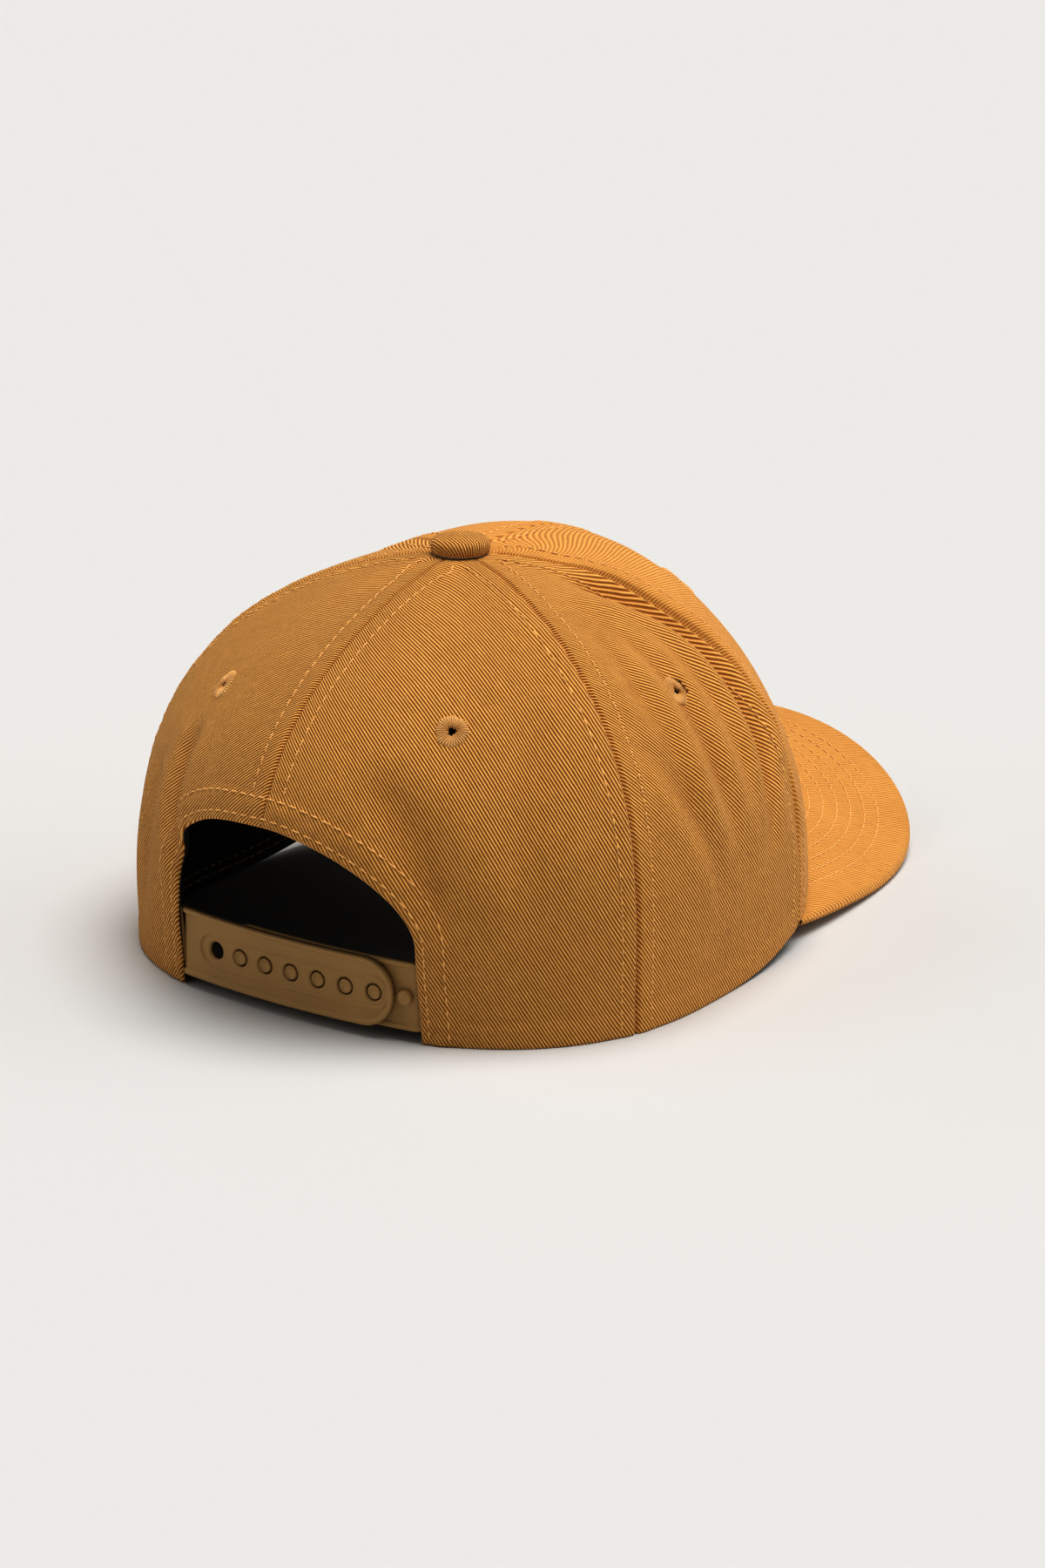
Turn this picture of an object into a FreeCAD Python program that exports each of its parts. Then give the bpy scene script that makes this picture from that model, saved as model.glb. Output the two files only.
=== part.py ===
"""Six-panel baseball cap with a curved visor and a plastic snap closure.

Millimetres.  +Z is up, the visor points to -Y, the closure is at +Y, and the
wearer's left is +X.  The origin is on the table, under the middle of the cap.

The crown is one surface given by two coordinates.  The first is the angle
round the head, 0 at the front and positive towards the wearer's right.  The
second is the distance up the surface from the base edge.  Every crown piece
lies between two depths below that surface.
"""

import FreeCAD
import Part
import math
import os
from functools import lru_cache
from FreeCAD import Vector

# Crown: the base oval, measured from the axis through the button.
HALF_WIDTH = 85.2
FRONT_LENGTH = 95.4
BACK_LENGTH = 73.3
FRONT_SQUARENESS = 2.98
BACK_SQUARENESS = 2.5
CROWN_HEIGHT = 109.3
BUTTON_SHIFT = -4.8
# Crown: rise of the base edge over the visor, and how fast it dies away.
FRONT_RISE = 29.9
RISE_POWER = 2.62
# Crown: profile at the front, side and back.
RADIUS_POWER = (0.436, 1.127, 1.027)
HEIGHT_POWER = (1.435, 0.657, 0.862)
BULGE = (-0.053, 0.072, -0.081)
CLOSURE_TUCK = 0.465
TUCK_POWER = 6
# Seams between panels, in degrees from the front.
FRONT_SEAM = 58.5
BACK_SEAM = 111.3

# Cloth layers, from the outside in.
PANEL_THICKNESS = 0.9
BUCKRAM_THICKNESS = 0.65
TAPE_THICKNESS = 0.45
LAYER_GAP = 0.05
HEM_TAPE_THICKNESS = 1.2
FOAM_THICKNESS = 1.2
FACING_THICKNESS = 0.6
SWEATBAND_WIDTH = 33.0
SWEATBAND_END = 148.5
HEM_TAPE_WIDTH = 9.0
HEM_TAPE_END = 140.0
EDGE_CLEARANCE = 0.3
APEX_HOLE = 2.2
APEX_CLEARANCE = 9.5
TAPE_HALF_WIDTH = 8.0
TAPE_START = 12.0
TAPE_SPREAD = 24.0

# Arched opening over the closure.
ARCH_HALF_WIDTH = 39.3
ARCH_SPRING = 27.2
ARCH_TOP = 55.5
ARCH_POWER = 1.75
ARCH_TAPE_WIDTH = 10.0
ARCH_TAPE_LOW = 23.5

# Eyelets, one in the middle of each panel.
EYELET_RADIUS = 4.8
EYELET_HOLE = 1.6
EYELET_PROUD = 0.5
EYELET_DISTANCE = (80.0, 86.0, 84.5)

# Button.
BUTTON_RADIUS = 8.0
BUTTON_HEIGHT = 5.0
BUTTON_CROWN = 1.6
BUTTON_RIM = 2.0
BUTTON_CLOTH = 0.7
BUTTON_STEEL = 0.6
PRONG_RADIUS = 1.2
WASHER_RADIUS = 7.0
WASHER_THICKNESS = 0.8
WASHER_DROP = 1.7

# Visor.
VISOR_PROJECTION = 72.0
VISOR_CORNER = 55.8
VISOR_SQUARENESS = 2.95
VISOR_DROP = 35.3
VISOR_SLOPE = 0.161
VISOR_CORNER_MARGIN = 0.55
VISOR_CORNER_POWER = 24
VISOR_CLOTH = 0.6
VISOR_BOARD = 1.6
VISOR_FOLD = 1.2

# Snap closure.
STRAP_WIDTH = 18.8
STRAP_HEIGHT = 12.6
STRAP_RADIUS = 243.0
STRAP_LEAN = 5.7
HOLE_STRAP_THICKNESS = 1.9
PEG_STRAP_THICKNESS = 1.5
RECESS_DEPTH = 0.4
RECESS_MARGIN = 1.5
STRAP_GAP = 0.3
SNAP_PITCH = 8.8
SNAP_COUNT = 7
HOLE_RADIUS = 2.4
PEG_RADIUS = 1.95
PEG_PROUD = 0.2
TIP_REACH = 5.9
TIP_CORNER = 9.0
HINGE_X = 37.0
HINGE_GAP = 1.0
TAB_LENGTH = 10.0

TABLE_SAMPLES = 260
NORMAL_STEP = 0.4
ANGLE_STEP = 0.01
NORMAL_BLEND = 10.0

PANEL_INSIDE = PANEL_THICKNESS + LAYER_GAP
TAPE_OUTSIDE = PANEL_INSIDE + BUCKRAM_THICKNESS + LAYER_GAP
FOAM_OUTSIDE = PANEL_INSIDE + HEM_TAPE_THICKNESS + LAYER_GAP
FACING_OUTSIDE = FOAM_OUTSIDE + FOAM_THICKNESS + LAYER_GAP
SWEATBAND_INSIDE = FACING_OUTSIDE + FACING_THICKNESS
BOARD_TOP = VISOR_CLOTH + LAYER_GAP
BOARD_BOTTOM = BOARD_TOP + VISOR_BOARD
VISOR_THICKNESS = BOARD_BOTTOM + LAYER_GAP + VISOR_CLOTH
SIDES = (("right", 1), ("left", -1))


def by_side(angle, values):
    """Blend of front, side and back values with the squared cosine."""
    front, side, back = values
    end = front if math.cos(angle) > 0 else back
    return side + (end - side) * math.cos(angle) ** 2


def base_radius(angle):
    """Superellipse: half widths across, and front or back length along."""
    ahead = math.cos(angle) > 0
    length = FRONT_LENGTH if ahead else BACK_LENGTH
    power = FRONT_SQUARENESS if ahead else BACK_SQUARENESS
    across = abs(math.sin(angle) / HALF_WIDTH) ** power
    along = abs(math.cos(angle) / length) ** power
    return (across + along) ** (-1 / power)


def base_rise(angle):
    """Height of the base edge: raised at the front, on the table elsewhere."""
    return FRONT_RISE * max(math.cos(angle), 0) ** RISE_POWER


def profile_point(angle, turn):
    """Point of a meridian; turn runs from 0 at the base to a right angle at the top."""
    bulge = by_side(angle, BULGE) + CLOSURE_TUCK * max(-math.cos(angle), 0) ** TUCK_POWER
    shrink = max(math.cos(turn), 0) ** by_side(angle, RADIUS_POWER)
    radius = base_radius(angle) * shrink * (1 + bulge * math.sin(2 * turn))
    rise = base_rise(angle)
    climb = math.sin(turn) ** by_side(angle, HEIGHT_POWER)
    shift = BUTTON_SHIFT * math.sin(turn) ** 1.5
    x = -radius * math.sin(angle)
    y = -radius * math.cos(angle) + shift
    return Vector(x, y, rise + (CROWN_HEIGHT - rise) * climb)


@lru_cache(maxsize=None)
def meridian(angle):
    """Points of one meridian, crowded towards the top, and their running lengths."""
    points = []
    for k in range(TABLE_SAMPLES + 1):
        part = 1 - (1 - k / TABLE_SAMPLES) ** 3
        points.append(profile_point(angle, part * math.pi / 2))
    lengths = [0.0]
    for low, high in zip(points, points[1:]):
        lengths.append(lengths[-1] + high.distanceToPoint(low))
    return points, lengths


def meridian_length(angle):
    return meridian(angle)[1][-1]


def on_meridian(angle, distance):
    """Point at a distance up the surface from the base edge."""
    points, lengths = meridian(angle)
    low, high = 0, TABLE_SAMPLES
    while high - low > 1:
        middle = (low + high) // 2
        if lengths[middle] <= distance:
            low = middle
        else:
            high = middle
    share = (distance - lengths[low]) / (lengths[high] - lengths[low])
    return points[low] + (points[high] - points[low]) * share


def crown_normal(angle, distance):
    """Outward normal, made level at the base edge so that every layer ends there."""
    top = meridian_length(angle)
    below = max(distance - NORMAL_STEP, 0)
    above = min(distance + NORMAL_STEP, top - NORMAL_STEP)
    up = on_meridian(angle, above) - on_meridian(angle, below)
    share = distance / top
    after = on_meridian(angle + ANGLE_STEP, share * meridian_length(angle + ANGLE_STEP))
    before = on_meridian(angle - ANGLE_STEP, share * meridian_length(angle - ANGLE_STEP))
    normal = up.cross(after - before)
    normal.z *= min(distance / NORMAL_BLEND, 1)
    if normal.dot(Vector(-math.sin(angle), -math.cos(angle), 0.3)) < 0:
        normal = normal * -1
    return normal.normalize()


def crown_point(angle, distance, depth=0.0):
    """Point at a depth below the crown's outer surface."""
    return on_meridian(angle, distance) - crown_normal(angle, distance) * depth


def distance_at_height(angle, height):
    """Distance up a meridian at which it reaches a height."""
    low, high = 0.0, meridian_length(angle)
    for _ in range(40):
        middle = (low + high) / 2
        if on_meridian(angle, middle).z < height:
            low = middle
        else:
            high = middle
    return low


def rear_angle_at(x, height):
    """Angle of the rear meridian that is x off the middle at a height."""
    low, high = math.pi / 2, math.pi
    for _ in range(40):
        middle = (low + high) / 2
        if -on_meridian(middle, distance_at_height(middle, height)).x > -x:
            low = middle
        else:
            high = middle
    return low


def spline_face(grid):
    surface = Part.BSplineSurface()
    surface.interpolate(grid)
    return surface


def border_edges(surface):
    low_u, high_u, low_v, high_v = surface.bounds()
    curves = (surface.uIso(low_u), surface.vIso(high_v), surface.uIso(high_u), surface.vIso(low_v))
    return [curve.toShape() for curve in curves]


def wall_face(edge, other):
    """Face between two edges, a true plane where both lie level."""
    ruled = Part.makeRuledSurface(edge, other)
    box = ruled.BoundBox
    if box.ZLength > 1e-6:
        return ruled
    return Part.Face(Part.Wire(Part.__sortEdges__(ruled.Edges)))


def layered_solid(outer_grid, inner_grid):
    """Closed solid between two grids of points with the same layout."""
    surfaces = [spline_face(outer_grid), spline_face(inner_grid)]
    faces = [surface.toShape() for surface in surfaces]
    borders = [border_edges(surface) for surface in surfaces]
    for edge, other in zip(*borders):
        faces.append(wall_face(edge, other))
    shell = Part.makeShell(faces)
    shell.sewShape(1e-3)
    solid = Part.Solid(shell.Shells[0])
    if solid.Volume < 0:
        solid.reverse()
    if not solid.isValid():
        solid.fix(1e-4, 1e-4, 1e-3)
    return solid


def crown_layer(place, outer, inner, columns, rows):
    """Solid on the crown; place turns two shares from 0 to 1 into angle and distance."""
    grids = []
    for depth in (outer, inner):
        grid = []
        for i in range(columns + 1):
            spots = [place(i / columns, j / rows) for j in range(rows + 1)]
            grid.append([crown_point(angle, distance, depth) for angle, distance in spots])
        grids.append(grid)
    return layered_solid(*grids)


def wedge(side, start, end, low, top_margin):
    """Place function of a region between two seams, up to near the button."""
    def place(across, up):
        angle = side * math.radians(start + (end - start) * across)
        high = meridian_length(angle) - top_margin
        return angle, low + (high - low) * up
    return place


def band(start, end, low, high):
    """Place function of a band of even width round the base."""
    def place(across, up):
        angle = math.radians(start + (end - start) * across)
        return angle, low + (high - low) * up
    return place


def tape_strip(seam, low):
    """Place function of a tape centred on a seam, narrowed where the seams meet."""
    centre = math.radians(seam)
    def place(across, up):
        high = meridian_length(centre) - APEX_CLEARANCE
        distance = low + (high - low) * up
        radius = math.hypot(*(on_meridian(centre, distance) - apex())[:2])
        half = min(TAPE_HALF_WIDTH / radius, math.radians(TAPE_SPREAD))
        angle = centre + half * (2 * across - 1)
        share = distance / meridian_length(centre)
        return angle, share * meridian_length(angle)
    return place


def apex():
    return Vector(0, BUTTON_SHIFT, CROWN_HEIGHT)


def arch_outline(margin, low):
    """Closed outline of the opening: straight sides and a superellipse over them."""
    half = ARCH_HALF_WIDTH + margin
    rise = ARCH_TOP - ARCH_SPRING + margin
    steps = 24
    points = []
    for k in range(steps + 1):
        turn = math.pi * k / steps
        reach = math.cos(turn)
        x = half * math.copysign(abs(reach) ** (2 / ARCH_POWER), reach)
        points.append(Vector(x, 0, ARCH_SPRING + rise * math.sin(turn) ** (2 / ARCH_POWER)))
    curve = Part.BSplineCurve()
    curve.interpolate(points)
    corners = [points[-1], Vector(-half, 0, low), Vector(half, 0, low), points[0]]
    edges = [curve.toShape()]
    for start, end in zip(corners, corners[1:]):
        edges.append(Part.LineSegment(start, end).toShape())
    return Part.Face(Part.Wire(edges))


def arch_prism(margin, low):
    """The opening's outline run out through the back of the crown."""
    face = arch_outline(margin, low)
    face.translate(Vector(0, BACK_LENGTH / 2, 0))
    return face.extrude(Vector(0, BACK_LENGTH, 0))


def eyelet_axes(index, side):
    """Centre and outward direction of a panel's eyelet."""
    middles = (FRONT_SEAM / 2, (FRONT_SEAM + BACK_SEAM) / 2, (BACK_SEAM + 180) / 2)
    angle = side * math.radians(middles[index])
    distance = EYELET_DISTANCE[index]
    return crown_point(angle, distance), crown_normal(angle, distance)


def eyelet_cylinder(index, side, radius, proud, depth):
    centre, outward = eyelet_axes(index, side)
    return Part.makeCylinder(radius, proud + depth, centre - outward * depth, outward)


def eyelet_ring(index, side):
    """Rounded thread ring that fills its hole in the panel."""
    layers = TAPE_OUTSIDE if index == 0 else PANEL_INSIDE
    ring = eyelet_cylinder(index, side, EYELET_RADIUS, EYELET_PROUD, layers + EYELET_PROUD)
    ring = ring.cut(eyelet_cylinder(index, side, EYELET_HOLE, 2 * EYELET_PROUD, 2 * layers + EYELET_PROUD))
    circles = [edge for edge in ring.Edges if edge.Length > 2 * math.pi * EYELET_HOLE + 1 and edge.isClosed()]
    rims = [edge for edge in circles if edge.Curve.TypeId == "Part::GeomCircle"]
    return ring.makeFillet(EYELET_PROUD * 0.8, rims)


def crown_pieces():
    """Panels, front stiffeners, eyelets and tapes."""
    pieces = {}
    limits = (0, FRONT_SEAM, BACK_SEAM, 180)
    opening = arch_prism(0, -ARCH_TAPE_WIDTH)
    for index, zone in enumerate(("front", "side", "back")):
        for name, side in SIDES:
            start, end = limits[index], limits[index + 1]
            panel = crown_layer(wedge(side, start, end, 0, APEX_HOLE), 0, PANEL_THICKNESS, 10, 22)
            cutter = eyelet_cylinder(index, side, EYELET_RADIUS, 3, 4)
            panel = panel.cut(cutter)
            if zone == "back":
                panel = panel.cut(opening)
            pieces[f"panel_{zone}_{name}"] = panel
            pieces[f"eyelet_{zone}_{name}"] = eyelet_ring(index, side)
            if zone == "front":
                place = wedge(side, start, end, HEM_TAPE_WIDTH + 1, APEX_CLEARANCE)
                inside = PANEL_INSIDE + BUCKRAM_THICKNESS
                stiffener = crown_layer(place, PANEL_INSIDE, inside, 10, 20)
                pieces[f"stiffener_{name}"] = stiffener.cut(cutter)
    return pieces


def tape_pieces():
    """Seam tapes, the tape round the arch and the tape inside the base edge."""
    pieces = {}
    over_arch = distance_at_height(math.pi, ARCH_TOP + ARCH_TAPE_WIDTH + 1)
    seams = {"front": (0, TAPE_START, TAPE_OUTSIDE), "back": (180, over_arch, PANEL_INSIDE)}
    for name, side in SIDES:
        seams[f"front_{name}"] = (side * FRONT_SEAM, TAPE_START, TAPE_OUTSIDE)
        seams[f"back_{name}"] = (side * BACK_SEAM, TAPE_START, PANEL_INSIDE)
    for name, (seam, low, outer) in seams.items():
        strip = crown_layer(tape_strip(seam, low), outer, outer + TAPE_THICKNESS, 4, 20)
        pieces[f"seam_tape_{name}"] = strip

    sheet = crown_layer(band(132, 228, 12, 78), PANEL_INSIDE, PANEL_INSIDE + TAPE_THICKNESS, 24, 12)
    tape = sheet.common(arch_prism(ARCH_TAPE_WIDTH, ARCH_TAPE_LOW))
    pieces["arch_tape"] = tape.cut(arch_prism(0, -ARCH_TAPE_WIDTH))

    hem = band(-HEM_TAPE_END, HEM_TAPE_END, EDGE_CLEARANCE, HEM_TAPE_WIDTH)
    hem_inside = PANEL_INSIDE + HEM_TAPE_THICKNESS
    pieces["hem_tape"] = crown_layer(hem, PANEL_INSIDE, hem_inside, 48, 3)
    return pieces


def sweatband_pieces():
    """Soft band inside the base edge: foam behind, cloth facing the head."""
    place = band(-SWEATBAND_END, SWEATBAND_END, EDGE_CLEARANCE, SWEATBAND_WIDTH)
    return {
        "sweatband_foam": crown_layer(place, FOAM_OUTSIDE, FOAM_OUTSIDE + FOAM_THICKNESS, 48, 6),
        "sweatband_facing": crown_layer(place, FACING_OUTSIDE, SWEATBAND_INSIDE, 48, 6),
    }


def dome(radius, height, crown, rim):
    """Low cylinder under a spherical top, with a rounded rim, standing on z = 0."""
    ball = (radius ** 2 + crown ** 2) / (2 * crown)
    body = Part.makeCylinder(radius, height)
    body = body.common(Part.makeSphere(ball, Vector(0, 0, height - ball)))
    rims = [edge for edge in body.Edges if edge.isClosed() and edge.BoundBox.ZMin > height / 10]
    return body.makeFillet(rim, rims)


def button_pieces():
    """Cloth-covered steel button, its prong through the crown and its washer."""
    steel_radius = BUTTON_RADIUS - BUTTON_CLOTH
    steel_height = BUTTON_HEIGHT - BUTTON_CLOTH
    hollow_radius = steel_radius - BUTTON_STEEL
    hollow_height = steel_height - BUTTON_STEEL
    cloth = dome(BUTTON_RADIUS, BUTTON_HEIGHT, BUTTON_CROWN, BUTTON_RIM)
    steel = dome(steel_radius, steel_height, BUTTON_CROWN, BUTTON_RIM - BUTTON_CLOTH)
    hollow = dome(hollow_radius, hollow_height, BUTTON_CROWN, BUTTON_RIM - BUTTON_CLOTH - BUTTON_STEEL)
    prong = Part.makeCylinder(hollow_radius, BUTTON_STEEL)
    shank_length = WASHER_DROP + WASHER_THICKNESS
    prong = prong.fuse(Part.makeCylinder(PRONG_RADIUS, shank_length, Vector(0, 0, -shank_length)))
    washer = Part.makeCylinder(WASHER_RADIUS, WASHER_THICKNESS, Vector(0, 0, -shank_length))
    washer = washer.cut(Part.makeCylinder(PRONG_RADIUS, shank_length, Vector(0, 0, -shank_length)))
    pieces = {
        "button_cover": cloth.cut(steel),
        "button_shell": steel.cut(hollow),
        "button_prong": prong.removeSplitter(),
        "button_washer": washer,
    }
    for shape in pieces.values():
        shape.translate(apex())
    return pieces


def visor_edge(turn):
    """Outer edge of the visor's upper face, as a superellipse with a parabolic arch."""
    corner = on_meridian(math.radians(VISOR_CORNER), 0)
    half = abs(corner.x) + VISOR_CORNER_MARGIN
    length = FRONT_LENGTH + VISOR_PROJECTION + corner.y
    across = abs(math.sin(turn) / half) ** VISOR_SQUARENESS
    along = abs(math.cos(turn) / length) ** VISOR_SQUARENESS
    radius = (across + along) ** (-1 / VISOR_SQUARENESS)
    x = -radius * math.sin(turn)
    ahead = radius * math.cos(turn)
    arch = -VISOR_DROP * (x / half) ** 2 + VISOR_SLOPE * (length - ahead)
    return Vector(x, corner.y - ahead, arch), corner.z


@lru_cache(maxsize=None)
def visor_lift():
    """Height that puts the lowest point of the visor's underside on the table."""
    lift = 0.0
    for _ in range(6):
        heights = [settled_edge(math.radians(turn), lift).z for turn in range(0, 91)]
        lift += VISOR_THICKNESS - min(heights)
    return lift


def settled_edge(turn, lift):
    """The edge at its height, drawn down to the base edge at the corners."""
    point, corner_height = visor_edge(turn)
    last, _ = visor_edge(math.pi / 2)
    pull = corner_height - last.z - lift
    return point + Vector(0, 0, lift + pull * abs(math.sin(turn)) ** VISOR_CORNER_POWER)


def visor_point(across, out, depth):
    """Point of the visor: straight lines run from under the crown to the edge."""
    side = 2 * across - 1
    inner = crown_point(side * math.radians(VISOR_CORNER), 0, SWEATBAND_INSIDE)
    outer = settled_edge(side * math.pi / 2, visor_lift())
    return inner + (outer - inner) * out - Vector(0, 0, depth)


def visor_layer(start, end, upper, lower):
    """Visor solid between two depths; start and end are margins from the outer edge."""
    columns, rows = 64, 6
    grids = []
    for depth in (upper, lower):
        grid = []
        for i in range(columns + 1):
            across = i / columns
            span = visor_point(across, 1, 0).distanceToPoint(visor_point(across, 0, 0))
            low = 0 if start is None else 1 - start / span
            high = 1 - end / span
            shares = [low + (high - low) * j / rows for j in range(rows + 1)]
            grid.append([visor_point(across, share, depth) for share in shares])
        grids.append(grid)
    return layered_solid(*grids)


def visor_pieces():
    """Stiff board between two cloths, whose edges are turned in round it."""
    return {
        "visor_top_cloth": visor_layer(None, 0, 0, VISOR_CLOTH),
        "visor_board": visor_layer(None, VISOR_FOLD + 3 * LAYER_GAP, BOARD_TOP, BOARD_BOTTOM),
        "visor_edge_fold": visor_layer(VISOR_FOLD, 0, BOARD_TOP, BOARD_BOTTOM),
        "visor_bottom_cloth": visor_layer(None, 0, BOARD_BOTTOM + LAYER_GAP, VISOR_THICKNESS),
    }


@lru_cache(maxsize=None)
def strap_centre():
    """Centre of the straps' curve, set so that the hole strap leaves the hem flush."""
    angle = rear_angle_at(-HINGE_X, STRAP_HEIGHT)
    hem = crown_point(angle, distance_at_height(angle, STRAP_HEIGHT), PANEL_INSIDE)
    reach = HINGE_X + STRAP_LEAN
    return Vector(-STRAP_LEAN, hem.y - math.sqrt(STRAP_RADIUS ** 2 - reach ** 2), 0)


def strap_outline(tip, margin):
    """Outline from a hinge line to a rounded tip, inset by a margin."""
    low = STRAP_HEIGHT - STRAP_WIDTH / 2 + margin
    high = STRAP_HEIGHT + STRAP_WIDTH / 2 - margin
    away = math.copysign(1, tip)
    root = -away * (HINGE_X - margin)
    end = tip - away * margin
    corner = TIP_CORNER - margin
    bend = end - away * corner
    diagonal = corner * (1 - math.sqrt(0.5))
    knee = end - away * diagonal
    edges = [
        Part.LineSegment(Vector(bend, 0, low), Vector(root, 0, low)),
        Part.LineSegment(Vector(root, 0, low), Vector(root, 0, high)),
        Part.LineSegment(Vector(root, 0, high), Vector(bend, 0, high)),
        Part.Arc(Vector(bend, 0, high), Vector(knee, 0, high - diagonal), Vector(end, 0, high - corner)),
        Part.LineSegment(Vector(end, 0, high - corner), Vector(end, 0, low + corner)),
        Part.Arc(Vector(end, 0, low + corner), Vector(knee, 0, low + diagonal), Vector(bend, 0, low)),
    ]
    return Part.Face(Part.Wire([edge.toShape() for edge in edges]))


def strap_layer(tip, margin, outer, thickness):
    """Curved plate between two radii, cut to the strap's outline."""
    centre = strap_centre()
    tube = Part.makeCylinder(outer, 3 * STRAP_WIDTH, centre - Vector(0, 0, STRAP_WIDTH))
    tube = tube.cut(Part.makeCylinder(outer - thickness, 3 * STRAP_WIDTH, centre - Vector(0, 0, STRAP_WIDTH)))
    face = strap_outline(tip, margin)
    face.translate(Vector(0, BACK_LENGTH / 2, 0))
    return tube.common(face.extrude(Vector(0, BACK_LENGTH, 0)))


def face_y(x, radius):
    """Where a strap surface of this radius lies at x."""
    centre = strap_centre()
    return centre.y + math.sqrt(radius ** 2 - (x - centre.x) ** 2)


def hinge_axis(side, outer, thickness):
    """Middle of the strap's thickness where it leaves the hem."""
    return Vector(-side * HINGE_X, face_y(-side * HINGE_X, outer - thickness / 2), 0)


def hinge_roll(side, outer, thickness):
    """Rounded end of a strap, centred on the line where it bends."""
    low = Vector(0, 0, STRAP_HEIGHT - STRAP_WIDTH / 2)
    return Part.makeCylinder(thickness / 2, STRAP_WIDTH, hinge_axis(side, outer, thickness) + low)


def snap_x(index):
    """Places of the snaps, from the wearer's left."""
    return SNAP_PITCH * ((SNAP_COUNT - 1) / 2 - index)


def snap_cylinder(index, radius, low_radius, high_y):
    """Cylinder along Y at one snap place."""
    x = snap_x(index)
    low_y = face_y(x, low_radius)
    return Part.makeCylinder(radius, high_y - low_y, Vector(x, low_y, STRAP_HEIGHT), Vector(0, 1, 0))


def strap_tab(side, thickness):
    """Sewn end of a strap, between the back panel and the sweatband."""
    low = STRAP_HEIGHT - STRAP_WIDTH / 2
    edge = rear_angle_at(-(HINGE_X + thickness / 2 + HINGE_GAP), low)
    far = rear_angle_at(-(HINGE_X + TAB_LENGTH), low)
    def place(across, up):
        angle = side * (edge + (far - edge) * across)
        start = distance_at_height(angle, low)
        end = distance_at_height(angle, low + STRAP_WIDTH)
        return angle, start + (end - start) * up
    return crown_layer(place, PANEL_INSIDE, PANEL_INSIDE + HEM_TAPE_THICKNESS, 4, 6)


def closure_pieces():
    """Hole strap from the wearer's left over the peg strap from the right."""
    hole_tip = snap_x(SNAP_COUNT - 1) - TIP_REACH
    peg_tip = snap_x(1) + TIP_REACH
    field = STRAP_RADIUS - RECESS_DEPTH
    peg_face = STRAP_RADIUS - HOLE_STRAP_THICKNESS - STRAP_GAP
    hole_strap = strap_layer(hole_tip, 0, STRAP_RADIUS, HOLE_STRAP_THICKNESS)
    hole_strap = hole_strap.cut(strap_layer(hole_tip, RECESS_MARGIN, STRAP_RADIUS + 1, RECESS_DEPTH + 1))
    hole_strap = hole_strap.fuse(hinge_roll(-1, STRAP_RADIUS, HOLE_STRAP_THICKNESS))
    peg_strap = strap_layer(peg_tip, 0, peg_face, PEG_STRAP_THICKNESS)
    peg_strap = peg_strap.fuse(hinge_roll(1, peg_face, PEG_STRAP_THICKNESS))
    for index in range(SNAP_COUNT):
        high_y = face_y(snap_x(index), STRAP_RADIUS) + 1
        inside = STRAP_RADIUS - HOLE_STRAP_THICKNESS - 1
        hole_strap = hole_strap.cut(snap_cylinder(index, HOLE_RADIUS, inside, high_y))
    for index in range(1, SNAP_COUNT + 1):
        high_y = face_y(snap_x(index), field) + PEG_PROUD
        peg = snap_cylinder(index, PEG_RADIUS, peg_face - PEG_STRAP_THICKNESS / 2, high_y)
        peg_strap = peg_strap.fuse(peg)
    for name, side, outer, thickness in (
        ("hole strap", -1, STRAP_RADIUS, HOLE_STRAP_THICKNESS),
        ("peg strap", 1, peg_face, PEG_STRAP_THICKNESS),
    ):
        axis = hinge_axis(side, outer, thickness)
        print(name, "bends about x", round(axis.x, 3), "y", round(axis.y, 3))
    return {
        "hole_strap": hole_strap.removeSplitter(),
        "hole_strap_tab": strap_tab(-1, HOLE_STRAP_THICKNESS),
        "peg_strap": peg_strap.removeSplitter(),
        "peg_strap_tab": strap_tab(1, PEG_STRAP_THICKNESS),
    }


def centre_shift(pieces):
    """Level move that puts the middle of the whole cap over the origin."""
    box = FreeCAD.BoundBox()
    for shape in pieces.values():
        box.add(shape.optimalBoundingBox())
    return Vector(-box.Center.x, -box.Center.y, 0)


def main():
    pieces = {}
    for group in (crown_pieces, tape_pieces, sweatband_pieces, button_pieces, visor_pieces, closure_pieces):
        pieces.update(group())
    move = centre_shift(pieces)
    print("move", [round(v, 3) for v in move])
    os.makedirs("parts", exist_ok=True)
    for name, shape in pieces.items():
        shape.translate(move)
        shape.exportStep(f"parts/{name}.step")
        box = shape.BoundBox
        state = "valid" if shape.isValid() else "NOT VALID"
        print(f"{name:22s} solids {len(shape.Solids)} volume {shape.Volume:9.1f} {state}",
              f"z {box.ZMin:.2f} to {box.ZMax:.2f}")


main()
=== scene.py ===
"""Six-panel baseball cap: cloth panels, stitching, eyelets, button, visor and snap closure.

Shape functions work in millimetres and meshes are written in metres.  The crown
is one surface given by two coordinates: the angle round the head, 0 at the front
and positive towards the wearer's right, and the distance up from the base edge.
"""

import math

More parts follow.
